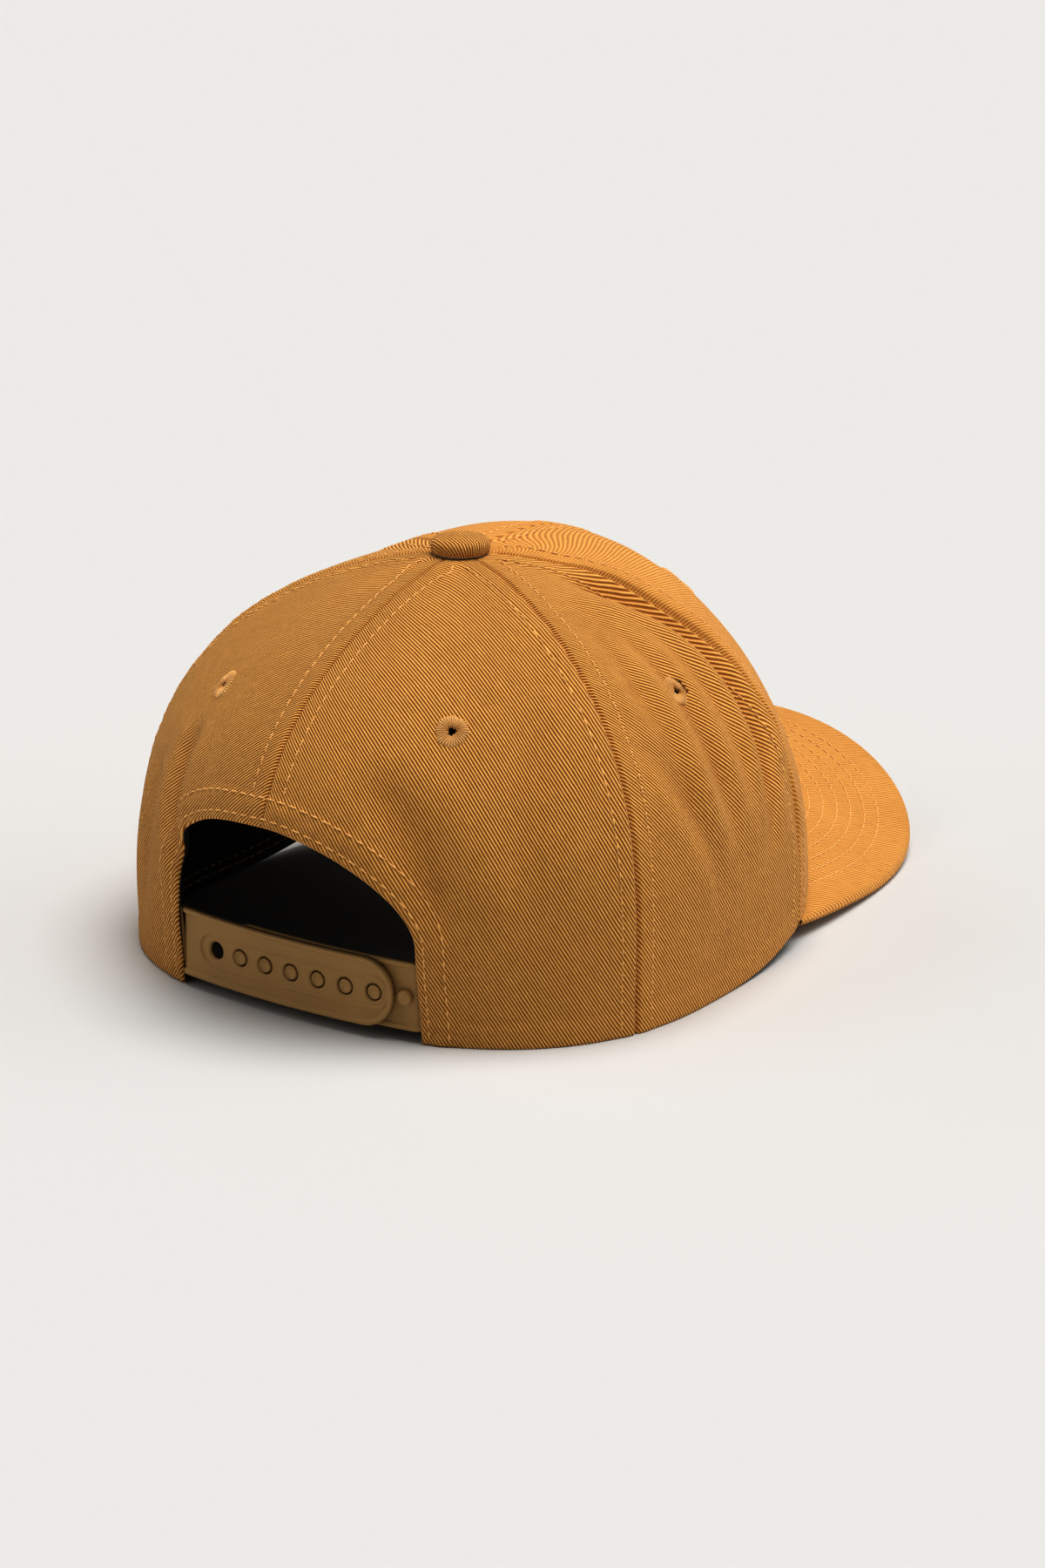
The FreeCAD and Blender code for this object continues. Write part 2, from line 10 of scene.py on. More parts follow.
import bpy
import numpy as np
from bpy.props import FloatProperty, FloatVectorProperty, IntProperty, PointerProperty
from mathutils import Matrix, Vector


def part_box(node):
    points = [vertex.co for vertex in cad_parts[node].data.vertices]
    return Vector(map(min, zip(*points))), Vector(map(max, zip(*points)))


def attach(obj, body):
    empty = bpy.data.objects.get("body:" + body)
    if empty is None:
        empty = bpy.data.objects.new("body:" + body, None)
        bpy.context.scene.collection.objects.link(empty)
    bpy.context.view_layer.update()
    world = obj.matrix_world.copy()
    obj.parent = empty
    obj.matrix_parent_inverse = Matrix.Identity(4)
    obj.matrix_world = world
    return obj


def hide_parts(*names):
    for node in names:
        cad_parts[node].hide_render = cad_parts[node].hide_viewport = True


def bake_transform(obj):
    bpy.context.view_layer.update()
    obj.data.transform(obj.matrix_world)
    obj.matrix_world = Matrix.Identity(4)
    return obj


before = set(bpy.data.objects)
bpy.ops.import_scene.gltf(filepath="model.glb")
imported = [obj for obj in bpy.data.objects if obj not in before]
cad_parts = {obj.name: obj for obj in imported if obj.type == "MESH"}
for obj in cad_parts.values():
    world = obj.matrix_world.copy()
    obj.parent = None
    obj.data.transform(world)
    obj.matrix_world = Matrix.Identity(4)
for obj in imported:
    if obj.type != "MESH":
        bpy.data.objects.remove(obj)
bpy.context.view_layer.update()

bl_info = {
    "name": "Baseball cap",
    "version": (1, 0, 0),
    "blender": (4, 5, 0),
    "location": "View3D > Sidebar > Cap",
    "description": "Builds the visible pieces of a six-panel snapback cap",
    "category": "Add Mesh",
}

# Shape of the crown: exponents and bulges at the front, side and back.
FRONT_SQUARENESS = 2.98
BACK_SQUARENESS = 2.5
RISE_POWER = 2.62
RADIUS_POWER = (0.436, 1.127, 1.027)
HEIGHT_POWER = (1.435, 0.657, 0.862)
BULGE = (-0.053, 0.072, -0.081)
CLOSURE_TUCK = 0.465
ARCH_POWERS = {1: 1.72, -1: 2.5}
VISOR_SQUARENESS = 2.95
VISOR_CORNER_POWER = 24
VISOR_TUCK = 4.15  # how far under the crown the visor's root lies, mm

# Heights and depths of the sewn relief in mm: at the seams, round the opening, at the base edge.
ALLOWANCE_RISE, SEAM_DEPTH, ROW_DEPTH, SEAM_PUCKER = 0.30, 0.62, 0.30, 0.06
HEM_RISE, HEM_SWELL, HEM_ROW_DEPTH, HEM_PUCKER = 0.32, 0.12, 0.18, 0.10
BASE_HEM_RISE, BASE_HEM_DEPTH, SLOW_RIPPLE = 0.22, 0.12, 0.42
ARCH_ROWS = (2.3, 7.7)  # distances of the opening's two stitch rows from its edge
FAR = 99.0  # stands for any distance too large to matter

# Soft folds in the cloth: depth and width in mm, then points of the valley as
# angle in degrees and distance up from the base edge in mm.
FOLDS = (
    (3.7, 4.4, ((76, 136), (69, 124), (64.5, 110), (63, 93), (64, 79), (66, 63), (69, 44), (71, 24))),
    (1.7, 4.2, ((95, 130), (88, 108), (86, 91), (86, 74), (84, 50), (82, 28))),
    (1.3, 3.8, ((101, 126), (97, 107), (97, 86), (96, 68), (93, 46))),
    (1.2, 4.2, ((106, 88), (102, 72), (97, 58), (91, 42), (87, 20))),
    (1.3, 4.0, ((80, 122), (76, 100), (75, 80), (76, 58), (76, 34))),
    (1.9, 4.6, ((-147, 76), (-147, 64), (-149, 50), (-153, 34), (-151, 16))),
    (1.0, 5.0, ((-131, 60), (-135, 38), (-130, 4))),
    (-0.9, 3.2, ((50, 74), (58, 56), (57, 36), (54, 14))),
    (1.5, 6.5, ((146, 26), (149, 42), (152, 55), (158, 66), (166, 70))),
    (0.9, 5.5, ((124, 96), (128, 74), (131, 50), (130, 26))),
    (0.8, 6.0, ((-72, 120), (-70, 90), (-74, 55), (-78, 25))),
    (0.7, 5.0, ((-95, 110), (-92, 80), (-90, 45))),
    (0.6, 7.0, ((20, 90), (26, 60), (24, 30))),
    (0.6, 7.0, ((-24, 95), (-18, 62), (-26, 34))),
)


def mm(metres):
    """Millimetres from metres."""
    return 1000 * metres


# ---------------------------------------------------------------- settings

def length(name, description, metres, **more):
    """Property for a length."""
    return FloatProperty(name=name, description=description, default=metres,
                         subtype="DISTANCE", unit="LENGTH", precision=4, **more)


def turn(name, description, in_degrees):
    """Property for an angle."""
    return FloatProperty(name=name, description=description, default=math.radians(in_degrees),
                         subtype="ANGLE", unit="ROTATION")


def colour(name, description, rgb):
    """Property for a linear colour."""
    return FloatVectorProperty(name=name, description=description, default=rgb,
                               subtype="COLOR", size=3, min=0, max=1)


class CAP_PG_crown(bpy.types.PropertyGroup):
    """Sizes of the crown and its cloth."""
    half_width: length("Half width", "Half the base oval's width", 0.0852)
    front_length: length("Front length", "From the button's axis to the front of the base oval", 0.0954)
    back_length: length("Back length", "From the button's axis to the back of the base oval", 0.0733)
    axis_y: length("Axis", "Place of the base oval's axis along Y", 0.041787)
    height: length("Crown height", "Height of the top under the button", 0.1093)
    button_shift: length("Button shift", "How far the top leans towards the visor", -0.0048)
    front_rise: length("Front rise", "How far the base edge rises over the visor", 0.0299)
    front_seam: turn("Front seam", "Angle of the seam between front and side panels", 58.5)
    back_seam: turn("Back seam", "Angle of the seam between side and back panels", 111.3)
    panel: length("Panel thickness", "Thickness of the panel cloth", 0.0009)
    hem: length("Hem thickness", "Thickness of the folded hem round the closure", 0.0018)
    arch_half_width: length("Arch half width", "Half the width of the closure's opening", 0.0393)
    arch_spring: length("Arch spring", "Height where the opening's sides start to curve", 0.0272)
    arch_top: length("Arch top", "Height of the opening's top", 0.0555)
    band_width: length("Sweatband width", "Width of the sweatband", 0.033)
    band_end: turn("Sweatband end", "Angle where the sweatband stops", 148.5)


class CAP_PG_visor(bpy.types.PropertyGroup):
    """Sizes of the visor."""
    projection: length("Projection", "How far the visor stands out in front of the crown", 0.072)
    corner: turn("Corner", "Angle where the visor meets the base edge", 55.8)
    corner_margin: length("Corner margin", "How far the visor's corner stands past the crown", 0.00055)
    drop: length("Arch drop", "How far the sides hang below the middle", 0.0353)
    slope: FloatProperty(name="Slope", description="Rise per length towards the crown", default=0.161)
    thickness: length("Thickness", "Thickness at the rim", 0.0029)
    first_row: length("First row", "Distance of the first stitch row from the rim", 0.0116)
    row_pitch: length("Row pitch", "Distance between stitch rows", 0.0050)
    rows: IntProperty(name="Rows", description="Number of stitch rows", default=9, min=1, max=12)


class CAP_PG_trim(bpy.types.PropertyGroup):
    """Sizes of stitches, eyelets and button."""
    stitch: length("Stitch length", "Visible length of one stitch", 0.0026)
    stitch_pitch: length("Stitch pitch", "Distance from stitch to stitch", 0.0034)
    thread: length("Thread radius", "Radius of the sewing thread", 0.00022)
    seam_row: length("Seam row", "Distance of the stitch rows from a seam", 0.0050)
    eyelet: length("Eyelet radius", "Outer radius of an eyelet", 0.0045)
    eyelet_hole: length("Eyelet hole", "Radius of an eyelet's hole", 0.0011)
    button: length("Button radius", "Radius of the cloth-covered button", 0.008)
    button_height: length("Button height", "Height of the button over the crown", 0.005)


class CAP_PG_closure(bpy.types.PropertyGroup):
    """Sizes of the snap closure."""
    width: length("Strap width", "Width of the straps", 0.0188)
    height: length("Strap height", "Height of the straps' middle", 0.0126)
    radius: length("Strap radius", "Radius of the hole strap's outer face", 0.243)
    lean: length("Strap lean", "Sideways place of the curve's centre", 0.0057)
    hole_strap: length("Hole strap thickness", "Thickness of the strap with holes", 0.0019)
    peg_strap: length("Peg strap thickness", "Thickness of the strap with pegs", 0.0015)
    gap: length("Strap gap", "Gap between the two straps", 0.0003)
    pitch: length("Snap pitch", "Distance between snaps", 0.0088)
    snaps: IntProperty(name="Snaps", description="Number of snaps", default=7, min=2, max=9)
    hole: length("Hole radius", "Radius of a snap hole", 0.0024)
    peg: length("Peg radius", "Radius of a snap peg", 0.00195)
    tip: length("Tip reach", "From the last snap to the strap's end", 0.0059)
    tip_corner: length("Tip corner", "Radius of the tip's corners", 0.009)
    hinge: length("Hinge place", "Distance from the middle to where a strap bends", 0.037)


class CAP_PG_finish(bpy.types.PropertyGroup):
    """Colours and weave."""
    cloth: colour("Cloth", "Ridges of the cotton twill", (1.0, 0.58, 0.175))
    # The gaps' colour is the cloth's darkened by painted shade in the grooves between the ridges.
    gap: colour("Gaps", "Gaps between the ridges of the twill", (0.35, 0.115, 0.014))
    thread: colour("Thread", "Sewing and embroidery thread", (0.88, 0.52, 0.19))
    # Near black: painted shade of the crown's inside, on the cloth's wrong side, the tapes and the
    # sweatband.
    shaded_lining: colour("Lining", "Inside of the cloth, tapes and sweatband", (0.022, 0.016, 0.011))
    strap: colour("Strap", "Moulded plastic of the closure", (0.46, 0.28, 0.105))
    floor: colour("Floor", "Table under the cap", (0.625, 0.623, 0.622))
    twill: length("Twill pitch", "Distance between the ridges of the twill", 0.00083)


SETTINGS = {"cap_crown": CAP_PG_crown, "cap_visor": CAP_PG_visor, "cap_trim": CAP_PG_trim,
            "cap_closure": CAP_PG_closure, "cap_finish": CAP_PG_finish}


def settings(name):
    """One group of the scene's cap settings."""
    return getattr(bpy.context.scene, "cap_" + name)


# ---------------------------------------------------------------- shape maths

def smooth(low, high, value):
    """Rises from 0 at low to 1 at high as 3t^2 - 2t^3."""
    t = np.clip((value - low) / (high - low), 0, 1)
    return t * t * (3 - 2 * t)


def bump(value, width):
    """Bell curve exp(-(value / width)^2)."""
    return np.exp(-(value / width) ** 2)


def by_side(angle, values):
    """Front, side and back values blended with the squared cosine."""
    front, side, back = values
    facing = np.cos(angle)
    return side + (np.where(facing > 0, front, back) - side) * facing ** 2


def ripple(points, sizes, seed):
    """Smooth unevenness from -1 to 1: products of sines of the point along fixed skew directions."""
    rng = np.random.default_rng(seed)
    total = 0
    for size in sizes:
        ways = rng.normal(size=(3, 3))
        ways /= np.linalg.norm(ways, axis=1)[:, None]
        phase = rng.uniform(0, 2 * math.pi, 3)
        waves = np.sin(points @ ways.T * (2 * math.pi / size) + phase)
        total = total + waves[..., 0] * waves[..., 1] + 0.5 * waves[..., 2]
    return total / (1.5 * len(sizes))


def path_distance(points, path):
    """Distance from each point to the nearest place on a polyline, and how far along it that is,
    0 to 1: the point's foot on each piece of line is limited to its ends."""
    flat = points.reshape(-1, 3)
    start, step = path[:-1], np.diff(path, axis=0)
    size = (step ** 2).sum(-1)
    t = np.clip(np.einsum("nkd,kd->nk", flat[:, None] - start, step) / size, 0, 1)
    gaps = np.linalg.norm(flat[:, None] - start - t[..., None] * step, axis=-1)
    near = gaps.argmin(1)
    rows = np.arange(len(flat))
    along = (near + t[rows, near]) / len(step)
    return gaps[rows, near].reshape(points.shape[:-1]), along.reshape(points.shape[:-1])


def resample(path, count):
    """Points at even distances along a polyline."""
    run = np.append(0, np.cumsum(np.linalg.norm(np.diff(path, axis=0), axis=1)))
    even = np.linspace(0, run[-1], count)
    return np.stack([np.interp(even, run, path[:, k]) for k in range(path.shape[1])], -1)


def smooth_path(knots, count=40):
    """Curve through given points: a cubic Hermite spline with central-difference tangents."""
    knots = np.array(knots, float)
    slopes = np.gradient(knots, axis=0)
    place = np.linspace(0, len(knots) - 1, count)
    k = np.minimum(place.astype(int), len(knots) - 2)
    t = (place - k)[:, None]
    return ((1 + 2 * t) * (1 - t) ** 2 * knots[k] + t * (1 - t) ** 2 * slopes[k]
            + t * t * (3 - 2 * t) * knots[k + 1] + t * t * (t - 1) * slopes[k + 1])


class Crown:
    """The crown's surface, tabulated once and read by bilinear interpolation."""

    FIRST, STEP, ROWS = math.radians(-186), math.radians(0.3), 641

    def __init__(self, sizes):
        self.sizes = sizes
        self.half_width, self.height = mm(sizes.half_width), mm(sizes.height)
        self.ends = mm(sizes.front_length), mm(sizes.back_length)
        self.shift, self.rise = mm(sizes.button_shift), mm(sizes.front_rise)
        self.axis_y = mm(sizes.axis_y)
        self.seams = np.array([0, sizes.front_seam, sizes.back_seam, math.pi])
        angle = np.arange(self.FIRST, -self.FIRST + self.STEP / 2, self.STEP)
        part = 1 - (1 - np.linspace(0, 1, 900)) ** 3
        table = self.profile(angle[:, None], part[None] * math.pi / 2)
        runs = np.linalg.norm(np.diff(table, axis=1), axis=-1)
        run = np.concatenate([np.zeros((len(angle), 1)), np.cumsum(runs, axis=1)], 1)
        self.angles, self.lengths = angle, run[:, -1]
        offset = 2 * np.arange(len(angle))[:, None]
        known = (run / run[:, -1:] + offset).ravel()
        wanted = (np.linspace(0, 1, self.ROWS)[None] + offset).ravel()
        even = [np.interp(wanted, known, table[..., k].ravel()) for k in range(3)]
        self.table = np.stack(even, -1).reshape(len(angle), self.ROWS, 3)
        across, up = np.gradient(self.table, axis=0), np.gradient(self.table, axis=1)
        normal = np.cross(up, across)
        rise = np.linspace(0, 1, self.ROWS)[None] * self.lengths[:, None]
        normal[..., 2] *= np.clip(rise / 10, 0, 1)
        self.normals = normal / np.maximum(np.linalg.norm(normal, axis=-1, keepdims=True), 1e-9)
        self.folds = [(depth, width, self.point(*self.fold_spots(knots)))
                      for depth, width, knots in FOLDS]
        self.arches = {side: self.arch_line(160, power) for side, power in ARCH_POWERS.items()}
        self.arch_paths = {side: self.point(*arch) for side, arch in self.arches.items()}

    @staticmethod
    def fold_spots(knots):
        """Angles in radians and distances along a fold."""
        spots = smooth_path(knots)
        return np.stack([np.radians(spots[:, 0]), spots[:, 1]])

    def profile(self, angle, turned):
        """Superellipse base radius, shrunk by a power of the cosine of the turn and raised by a
        power of its sine."""
        facing = np.cos(angle)
        ahead = facing > 0
        power = np.where(ahead, FRONT_SQUARENESS, BACK_SQUARENESS)
        reach = np.where(ahead, *self.ends)
        across, ahead_by = abs(np.sin(angle) / self.half_width), abs(facing / reach)
        base = (across ** power + ahead_by ** power) ** (-1 / power)
        swell = by_side(angle, BULGE) + CLOSURE_TUCK * np.maximum(-facing, 0) ** 6
        shrink = np.maximum(np.cos(turned), 0) ** by_side(angle, RADIUS_POWER)
        radius = base * shrink * (1 + swell * np.sin(2 * turned))
        rise = self.rise * np.maximum(facing, 0) ** RISE_POWER
        z = rise + (self.height - rise) * np.sin(turned) ** by_side(angle, HEIGHT_POWER)
        y = self.axis_y - radius * facing + self.shift * np.sin(turned) ** 1.5
        return np.stack(np.broadcast_arrays(-radius * np.sin(angle), y, z), -1)

    def reach(self, angle):
        """Length of a meridian from base edge to top."""
        return np.interp((angle + math.pi) % (2 * math.pi) - math.pi, self.angles, self.lengths)

    def read(self, table, angle, distance):
        """Bilinear mean of the four table entries round a place."""
        angle, distance = np.broadcast_arrays(angle, distance)
        angle = (angle + math.pi) % (2 * math.pi) - math.pi
        i = (angle - self.FIRST) / self.STEP
        j = np.clip(distance / self.reach(angle), 0, 1) * (self.ROWS - 1)
        i0 = np.clip(i.astype(int), 0, len(table) - 2)
        j0 = np.clip(j.astype(int), 0, self.ROWS - 2)
        fi, fj = (i - i0)[..., None], (j - j0)[..., None]
        low = table[i0, j0] * (1 - fi) + table[i0 + 1, j0] * fi
        high = table[i0, j0 + 1] * (1 - fi) + table[i0 + 1, j0 + 1] * fi
        return low * (1 - fj) + high * fj

    def normal(self, angle, distance):
        """Unit normal of the plain crown, pointing outward."""
        normal = self.read(self.normals, angle, distance)
        return normal / np.linalg.norm(normal, axis=-1, keepdims=True)

    def point(self, angle, distance, height=0.0):
        """Point at a height over the plain crown, negative for a depth."""
        height = np.asarray(height)[..., None]
        return self.read(self.table, angle, distance) + self.normal(angle, distance) * height

    def radius(self, spot):
        """Level distance from the button's axis."""
        return np.hypot(spot[..., 0], spot[..., 1] - self.axis_y - self.shift)

    def seam_gap(self, angle, spot):
        """Distance across the cloth to the nearest seam."""
        gaps = [abs(abs(angle) - seam) for seam in self.seams]
        return np.minimum.reduce(gaps) * self.radius(spot)

    def level(self, angle, height):
        """Distance up a meridian to a height, by bisection."""
        low, high = np.zeros_like(angle), self.reach(angle)
        for _ in range(24):
            middle = (low + high) / 2
            under = self.read(self.table, angle, middle)[..., 2] < height
            low, high = np.where(under, middle, low), np.where(under, high, middle)
        return low

    def arch_line(self, count, power):
        """Half of the opening's edge, from the base edge to the middle of the back, as on the
        wearer's right: a straight side and a superellipse, found on the surface by bisection."""
        sizes = self.sizes
        half, spring, top = mm(sizes.arch_half_width), mm(sizes.arch_spring), mm(sizes.arch_top)
        bend = np.linspace(0, math.pi / 2, 200)
        curve = np.stack([half * np.cos(bend) ** (2 / power),
                          spring + (top - spring) * np.sin(bend) ** (2 / power)], -1)
        x, z = resample(np.concatenate([[[half, 0.0]], curve]), count).T
        low, high = np.full(count, math.pi / 2), np.full(count, math.pi)
        for _ in range(24):
            middle = (low + high) / 2
            wide = -self.point(middle, self.level(middle, z))[..., 0] > x
            low, high = np.where(wide, middle, low), np.where(wide, high, middle)
        low[-1] = math.pi
        return low, self.level(low, z)

    def relief(self, angle, distance):
        """Height of the sewn cloth over the plain crown.  A seam is a narrow groove between two
        raised allowances that end just past the stitch rows; hems swell between their rows; folds
        are taken off; a slow ripple keeps the cloth from looking pressed."""
        angle, distance = np.broadcast_arrays(angle, distance)
        angle = np.where(angle > math.pi + 1e-9, angle - 2 * math.pi, angle)
        spot = self.point(angle, distance)
        gap = self.seam_gap(angle, spot)
        row = mm(settings("trim").seam_row)
        clear = smooth(5, 13, self.radius(spot))
        mirrored = spot * np.where(angle[..., None] < 0, [-1, 1, 1], 1)
        arch = np.full(angle.shape, FAR)
        for side, path in self.arch_paths.items():
            near = (side * angle > 2.0) & (distance < 80)
            if near.any():
                arch[near] = path_distance(mirrored[near], path)[0]
        open_arch = smooth(1.0, 6.0, arch)
        allowance = smooth(0.3, 1.0, gap) * (1 - smooth(row + 0.6, row + 1.8, gap))
        height = clear * open_arch * (ALLOWANCE_RISE * allowance - SEAM_DEPTH * bump(gap, 0.5))
        height -= clear * ROW_DEPTH * bump(gap - row, 0.6)
        puckers = np.sin(distance * 0.75 + 1.5 * np.sin(distance * 0.11 + angle))
        height += clear * open_arch * SEAM_PUCKER * bump(gap - 4, 3.2) * puckers
        height += HEM_RISE * (1 - smooth(7.9, 8.9, arch)) + HEM_SWELL * bump(arch - 5, 1.8)
        height -= HEM_ROW_DEPTH * sum(bump(arch - offset, 0.5) for offset in ARCH_ROWS)
        height += HEM_PUCKER * bump(arch - 5, 3.5) * np.sin(distance * 0.9 + angle * 40)
        height += BASE_HEM_RISE * (1 - smooth(5.0, 8.0, distance))
        height -= BASE_HEM_DEPTH * bump(distance - 7.2, 0.8)
        height -= self.folded(spot)
        calm = smooth(0, 14, distance) * smooth(0, 22, self.radius(spot))
        height += calm * SLOW_RIPPLE * ripple(spot, (62, 41, 29), 5) * smooth(0, 10, arch)
        return height

    def folded(self, spot):
        """Depth of the folds: bell-shaped valleys with a soft ridge beside them, fading at the ends."""
        depth = np.zeros(spot.shape[:-1])
        for deep, width, path in self.folds:
            away, along = path_distance_near(spot, path, 5 * width)
            ends = smooth(0, 0.25, along) * (1 - smooth(0.7, 1, along))
            depth += deep * ends * (bump(away, width) - 0.42 * bump(away - 2 * width, 1.1 * width))
        return depth


def path_distance_near(points, path, limit):
    """Path distance worked out only where the point lies within the path's box plus a margin."""
    low, high = path.min(0) - limit, path.max(0) + limit
    near = ((points > low) & (points < high)).all(-1)
    away, along = np.full(points.shape[:-1], FAR), np.zeros(points.shape[:-1])
    if near.any():
        away[near], along[near] = path_distance(points[near], path)
    return away, along


# ---------------------------------------------------------------- meshes

def put_mesh(name, points, faces, uv=None, marks=None):
    """Object from points in mm and lists of faces; uv and marks are given per point."""
    used = np.unique(np.concatenate([f.ravel() for f in faces]))
    index = np.full(len(points), -1)
    index[used] = np.arange(len(used))
    points = points[used]
    faces = [index[f] for f in faces]
    volume = sum(np.einsum("ij,ij->", points[f[:, 0]], np.cross(points[f[:, k]], points[f[:, k + 1]]))
                 for f in faces for k in range(1, f.shape[1] - 1))
    if volume < 0:  # the faces look inwards
        faces = [f[:, ::-1] for f in faces]
    mesh = bpy.data.meshes.new(name)
    mesh.from_pydata((points / 1000).tolist(), [], [face for f in faces for face in f.tolist()])
    loops = np.zeros(len(mesh.loops), int)
    mesh.loops.foreach_get("vertex_index", loops)
    if uv is not None:
        layer = mesh.uv_layers.new(name="cloth")
        layer.data.foreach_set("uv", uv[used][loops].astype(np.float32).ravel())
    for mark, values in (marks or {}).items():
        attribute = mesh.attributes.new(mark, "FLOAT", "POINT")
        attribute.data.foreach_set("value", values[used].astype(np.float32))
    mesh.polygons.foreach_set("use_smooth", np.full(len(mesh.polygons), True))
    mesh.validate()
    mesh.update()
    piece = bpy.data.objects.new(name, mesh)
    bpy.context.scene.collection.objects.link(piece)
    return piece


def shell(outer, inner, cells=None):
    """Points and faces of two grids closed into one shell; a wall closes every open cell side."""
    n, m = outer.shape[:2]
    cells = np.ones((n - 1, m - 1), bool) if cells is None else cells
    index = np.arange(n * m).reshape(n, m)
    corners = np.stack([index[:-1, :-1], index[1:, :-1], index[1:, 1:], index[:-1, 1:]], -1)
    low = n * m
    faces = [corners[cells], corners[cells][:, ::-1] + low]
    ringed = np.pad(cells, 1)
    for side, (di, dj) in enumerate(((0, -1), (1, 0), (0, 1), (-1, 0))):
        beyond = ringed[1 + di:n + di, 1 + dj:m + dj]
        start, end = corners[..., side], corners[..., (side + 1) % 4]
        edge = cells & ~beyond
        faces.append(np.stack([end[edge], start[edge], start[edge] + low, end[edge] + low], -1))
    points = np.concatenate([outer.reshape(-1, 3), inner.reshape(-1, 3)])
    return points, [f for f in faces if len(f)]


def tube_loop(grid):
    """Faces of a grid closed in both directions."""
    n, m = grid.shape[:2]
    i, j = np.meshgrid(np.arange(n), np.arange(m), indexing="ij")
    a, b = i * m + j, (i + 1) % n * m + j
    c, d = (i + 1) % n * m + (j + 1) % m, i * m + (j + 1) % m
    return grid.reshape(-1, 3), [np.stack([a, b, c, d], -1).reshape(-1, 4)]


def turned(rings, centre_low, centre_high):
    """Rings (rows, columns, 3) closed round, with a pole point at each end."""
    n, m = rings.shape[:2]
    i, j = np.meshgrid(np.arange(n - 1), np.arange(m), indexing="ij")
    nxt = (j + 1) % m
    walls = np.stack([i * m + j, (i + 1) * m + j, (i + 1) * m + nxt, i * m + nxt], -1).reshape(-1, 4)
    j, nxt = np.arange(m), (np.arange(m) + 1) % m
    low = np.stack([j, nxt, np.full(m, n * m)], -1)
    high = np.stack([(n - 1) * m + nxt, (n - 1) * m + j, np.full(m, n * m + 1)], -1)
    points = np.concatenate([rings.reshape(-1, 3), [centre_low], [centre_high]])
    return points, [walls, low, high]


def join(parts):
    """Several (points, faces) put together."""
    points, faces, start = [], [], 0
    for spots, lists in parts:
        points.append(spots)
        faces += [f + start for f in lists]
        start += len(spots)
    merged = {}
    for f in faces:
        merged.setdefault(f.shape[1], []).append(f)
    return np.concatenate(points), [np.concatenate(group) for group in merged.values()]


THREAD_SIDES = 6


def stitches(path, normals, radius, stitch, pitch):
    """Run of stitches on a polyline: each is a six-sided thread of six rings, whose middle stands
    over the cloth and whose ends dive into it, as radius * (0.85 - 1.7 * (2t - 1)^4)."""
    run = np.append(0, np.cumsum(np.linalg.norm(np.diff(path, axis=0), axis=1)))
    count = int(run[-1] / pitch)
    if count < 1:
        return None
    t = np.linspace(0, 1, THREAD_SIDES)
    place = (np.arange(count)[:, None] + 0.15) * pitch + t[None] * stitch
    centre = np.stack([np.interp(place, run, path[:, k]) for k in range(3)], -1)
    up = np.stack([np.interp(place, run, normals[:, k]) for k in range(3)], -1)
    up /= np.linalg.norm(up, axis=-1, keepdims=True)
    ahead = np.gradient(centre, axis=1)
    side = np.cross(ahead, up)
    side /= np.linalg.norm(side, axis=-1, keepdims=True)
    lift = radius * (0.85 - 1.7 * (2 * t - 1) ** 4)
    thick = radius * (1 - 0.45 * abs(2 * t - 1) ** 3)
    skew = 0.1 * radius * np.sin(np.arange(count) * 2.4)[:, None, None]
    centre = centre + up * lift[None, :, None] + side * skew
    turn_by = np.arange(THREAD_SIDES) * math.pi / 3
    ring = (side[:, :, None] * np.cos(turn_by)[:, None] * thick[None, :, None, None]
            + up[:, :, None] * np.sin(turn_by)[:, None] * thick[None, :, None, None])
    points = (centre[:, :, None] + ring).reshape(-1, 3)
    start = (np.arange(count) * THREAD_SIDES ** 2)[:, None, None]
    i, j = np.meshgrid(np.arange(THREAD_SIDES - 1), np.arange(THREAD_SIDES), indexing="ij")
    here, further, beside = i * THREAD_SIDES, (i + 1) * THREAD_SIDES, (j + 1) % THREAD_SIDES
    walls = np.stack([here + j, further + j, further + beside, here + beside], -1)
    walls = (start + walls.reshape(1, -1, 4)).reshape(-1, 4)
    ring = np.arange(THREAD_SIDES)[None]
    first = start[:, 0] + ring[:, ::-1]
    last = start[:, 0] + THREAD_SIDES * (THREAD_SIDES - 1) + ring
    return points, [walls, np.concatenate([first, last])]


def clustered(fine, count_fine, count):
    """Places from 0 to 1, close together in a stretch of length fine at either end."""
    edge = np.linspace(0, 1, count_fine) ** 1.3 * fine
    middle = np.linspace(fine, 1 - fine, count)[1:-1]
    return np.concatenate([edge, middle, (1 - edge)[::-1]])


# ---------------------------------------------------------------- materials

class Reading:
    """A socket; arithmetic on it adds Math nodes."""

    def __init__(self, finish, socket):
        self.finish, self.socket = finish, socket

    def math(self, operation, *values):
        """Adds a Math node and reads its result."""
        node = self.finish.node("ShaderNodeMath", {"operation": operation}, dict(enumerate(values)))
        return Reading(self.finish, node.outputs[0])

    def __add__(self, other):
        return self.math("ADD", self, other)

    def __radd__(self, other):
        return self.math("ADD", other, self)

    def __sub__(self, other):
        return self.math("SUBTRACT", self, other)

    def __rsub__(self, other):
        return self.math("SUBTRACT", other, self)

    def __mul__(self, other):
        return self.math("MULTIPLY", self, other)

    def __rmul__(self, other):
        return self.math("MULTIPLY", other, self)

    def __truediv__(self, other):
        return self.math("DIVIDE", self, other)

    def __rtruediv__(self, other):
        return self.math("DIVIDE", other, self)

    def __pow__(self, other):
        return self.math("POWER", self, other)

    def sin(self):
        return self.math("SINE", self)

    def floor(self):
        return self.math("FLOOR", self)

    def limited(self):
        """Kept between 0 and 1."""
        return self.math("MINIMUM", self.math("MAXIMUM", self, 0.0), 1.0)


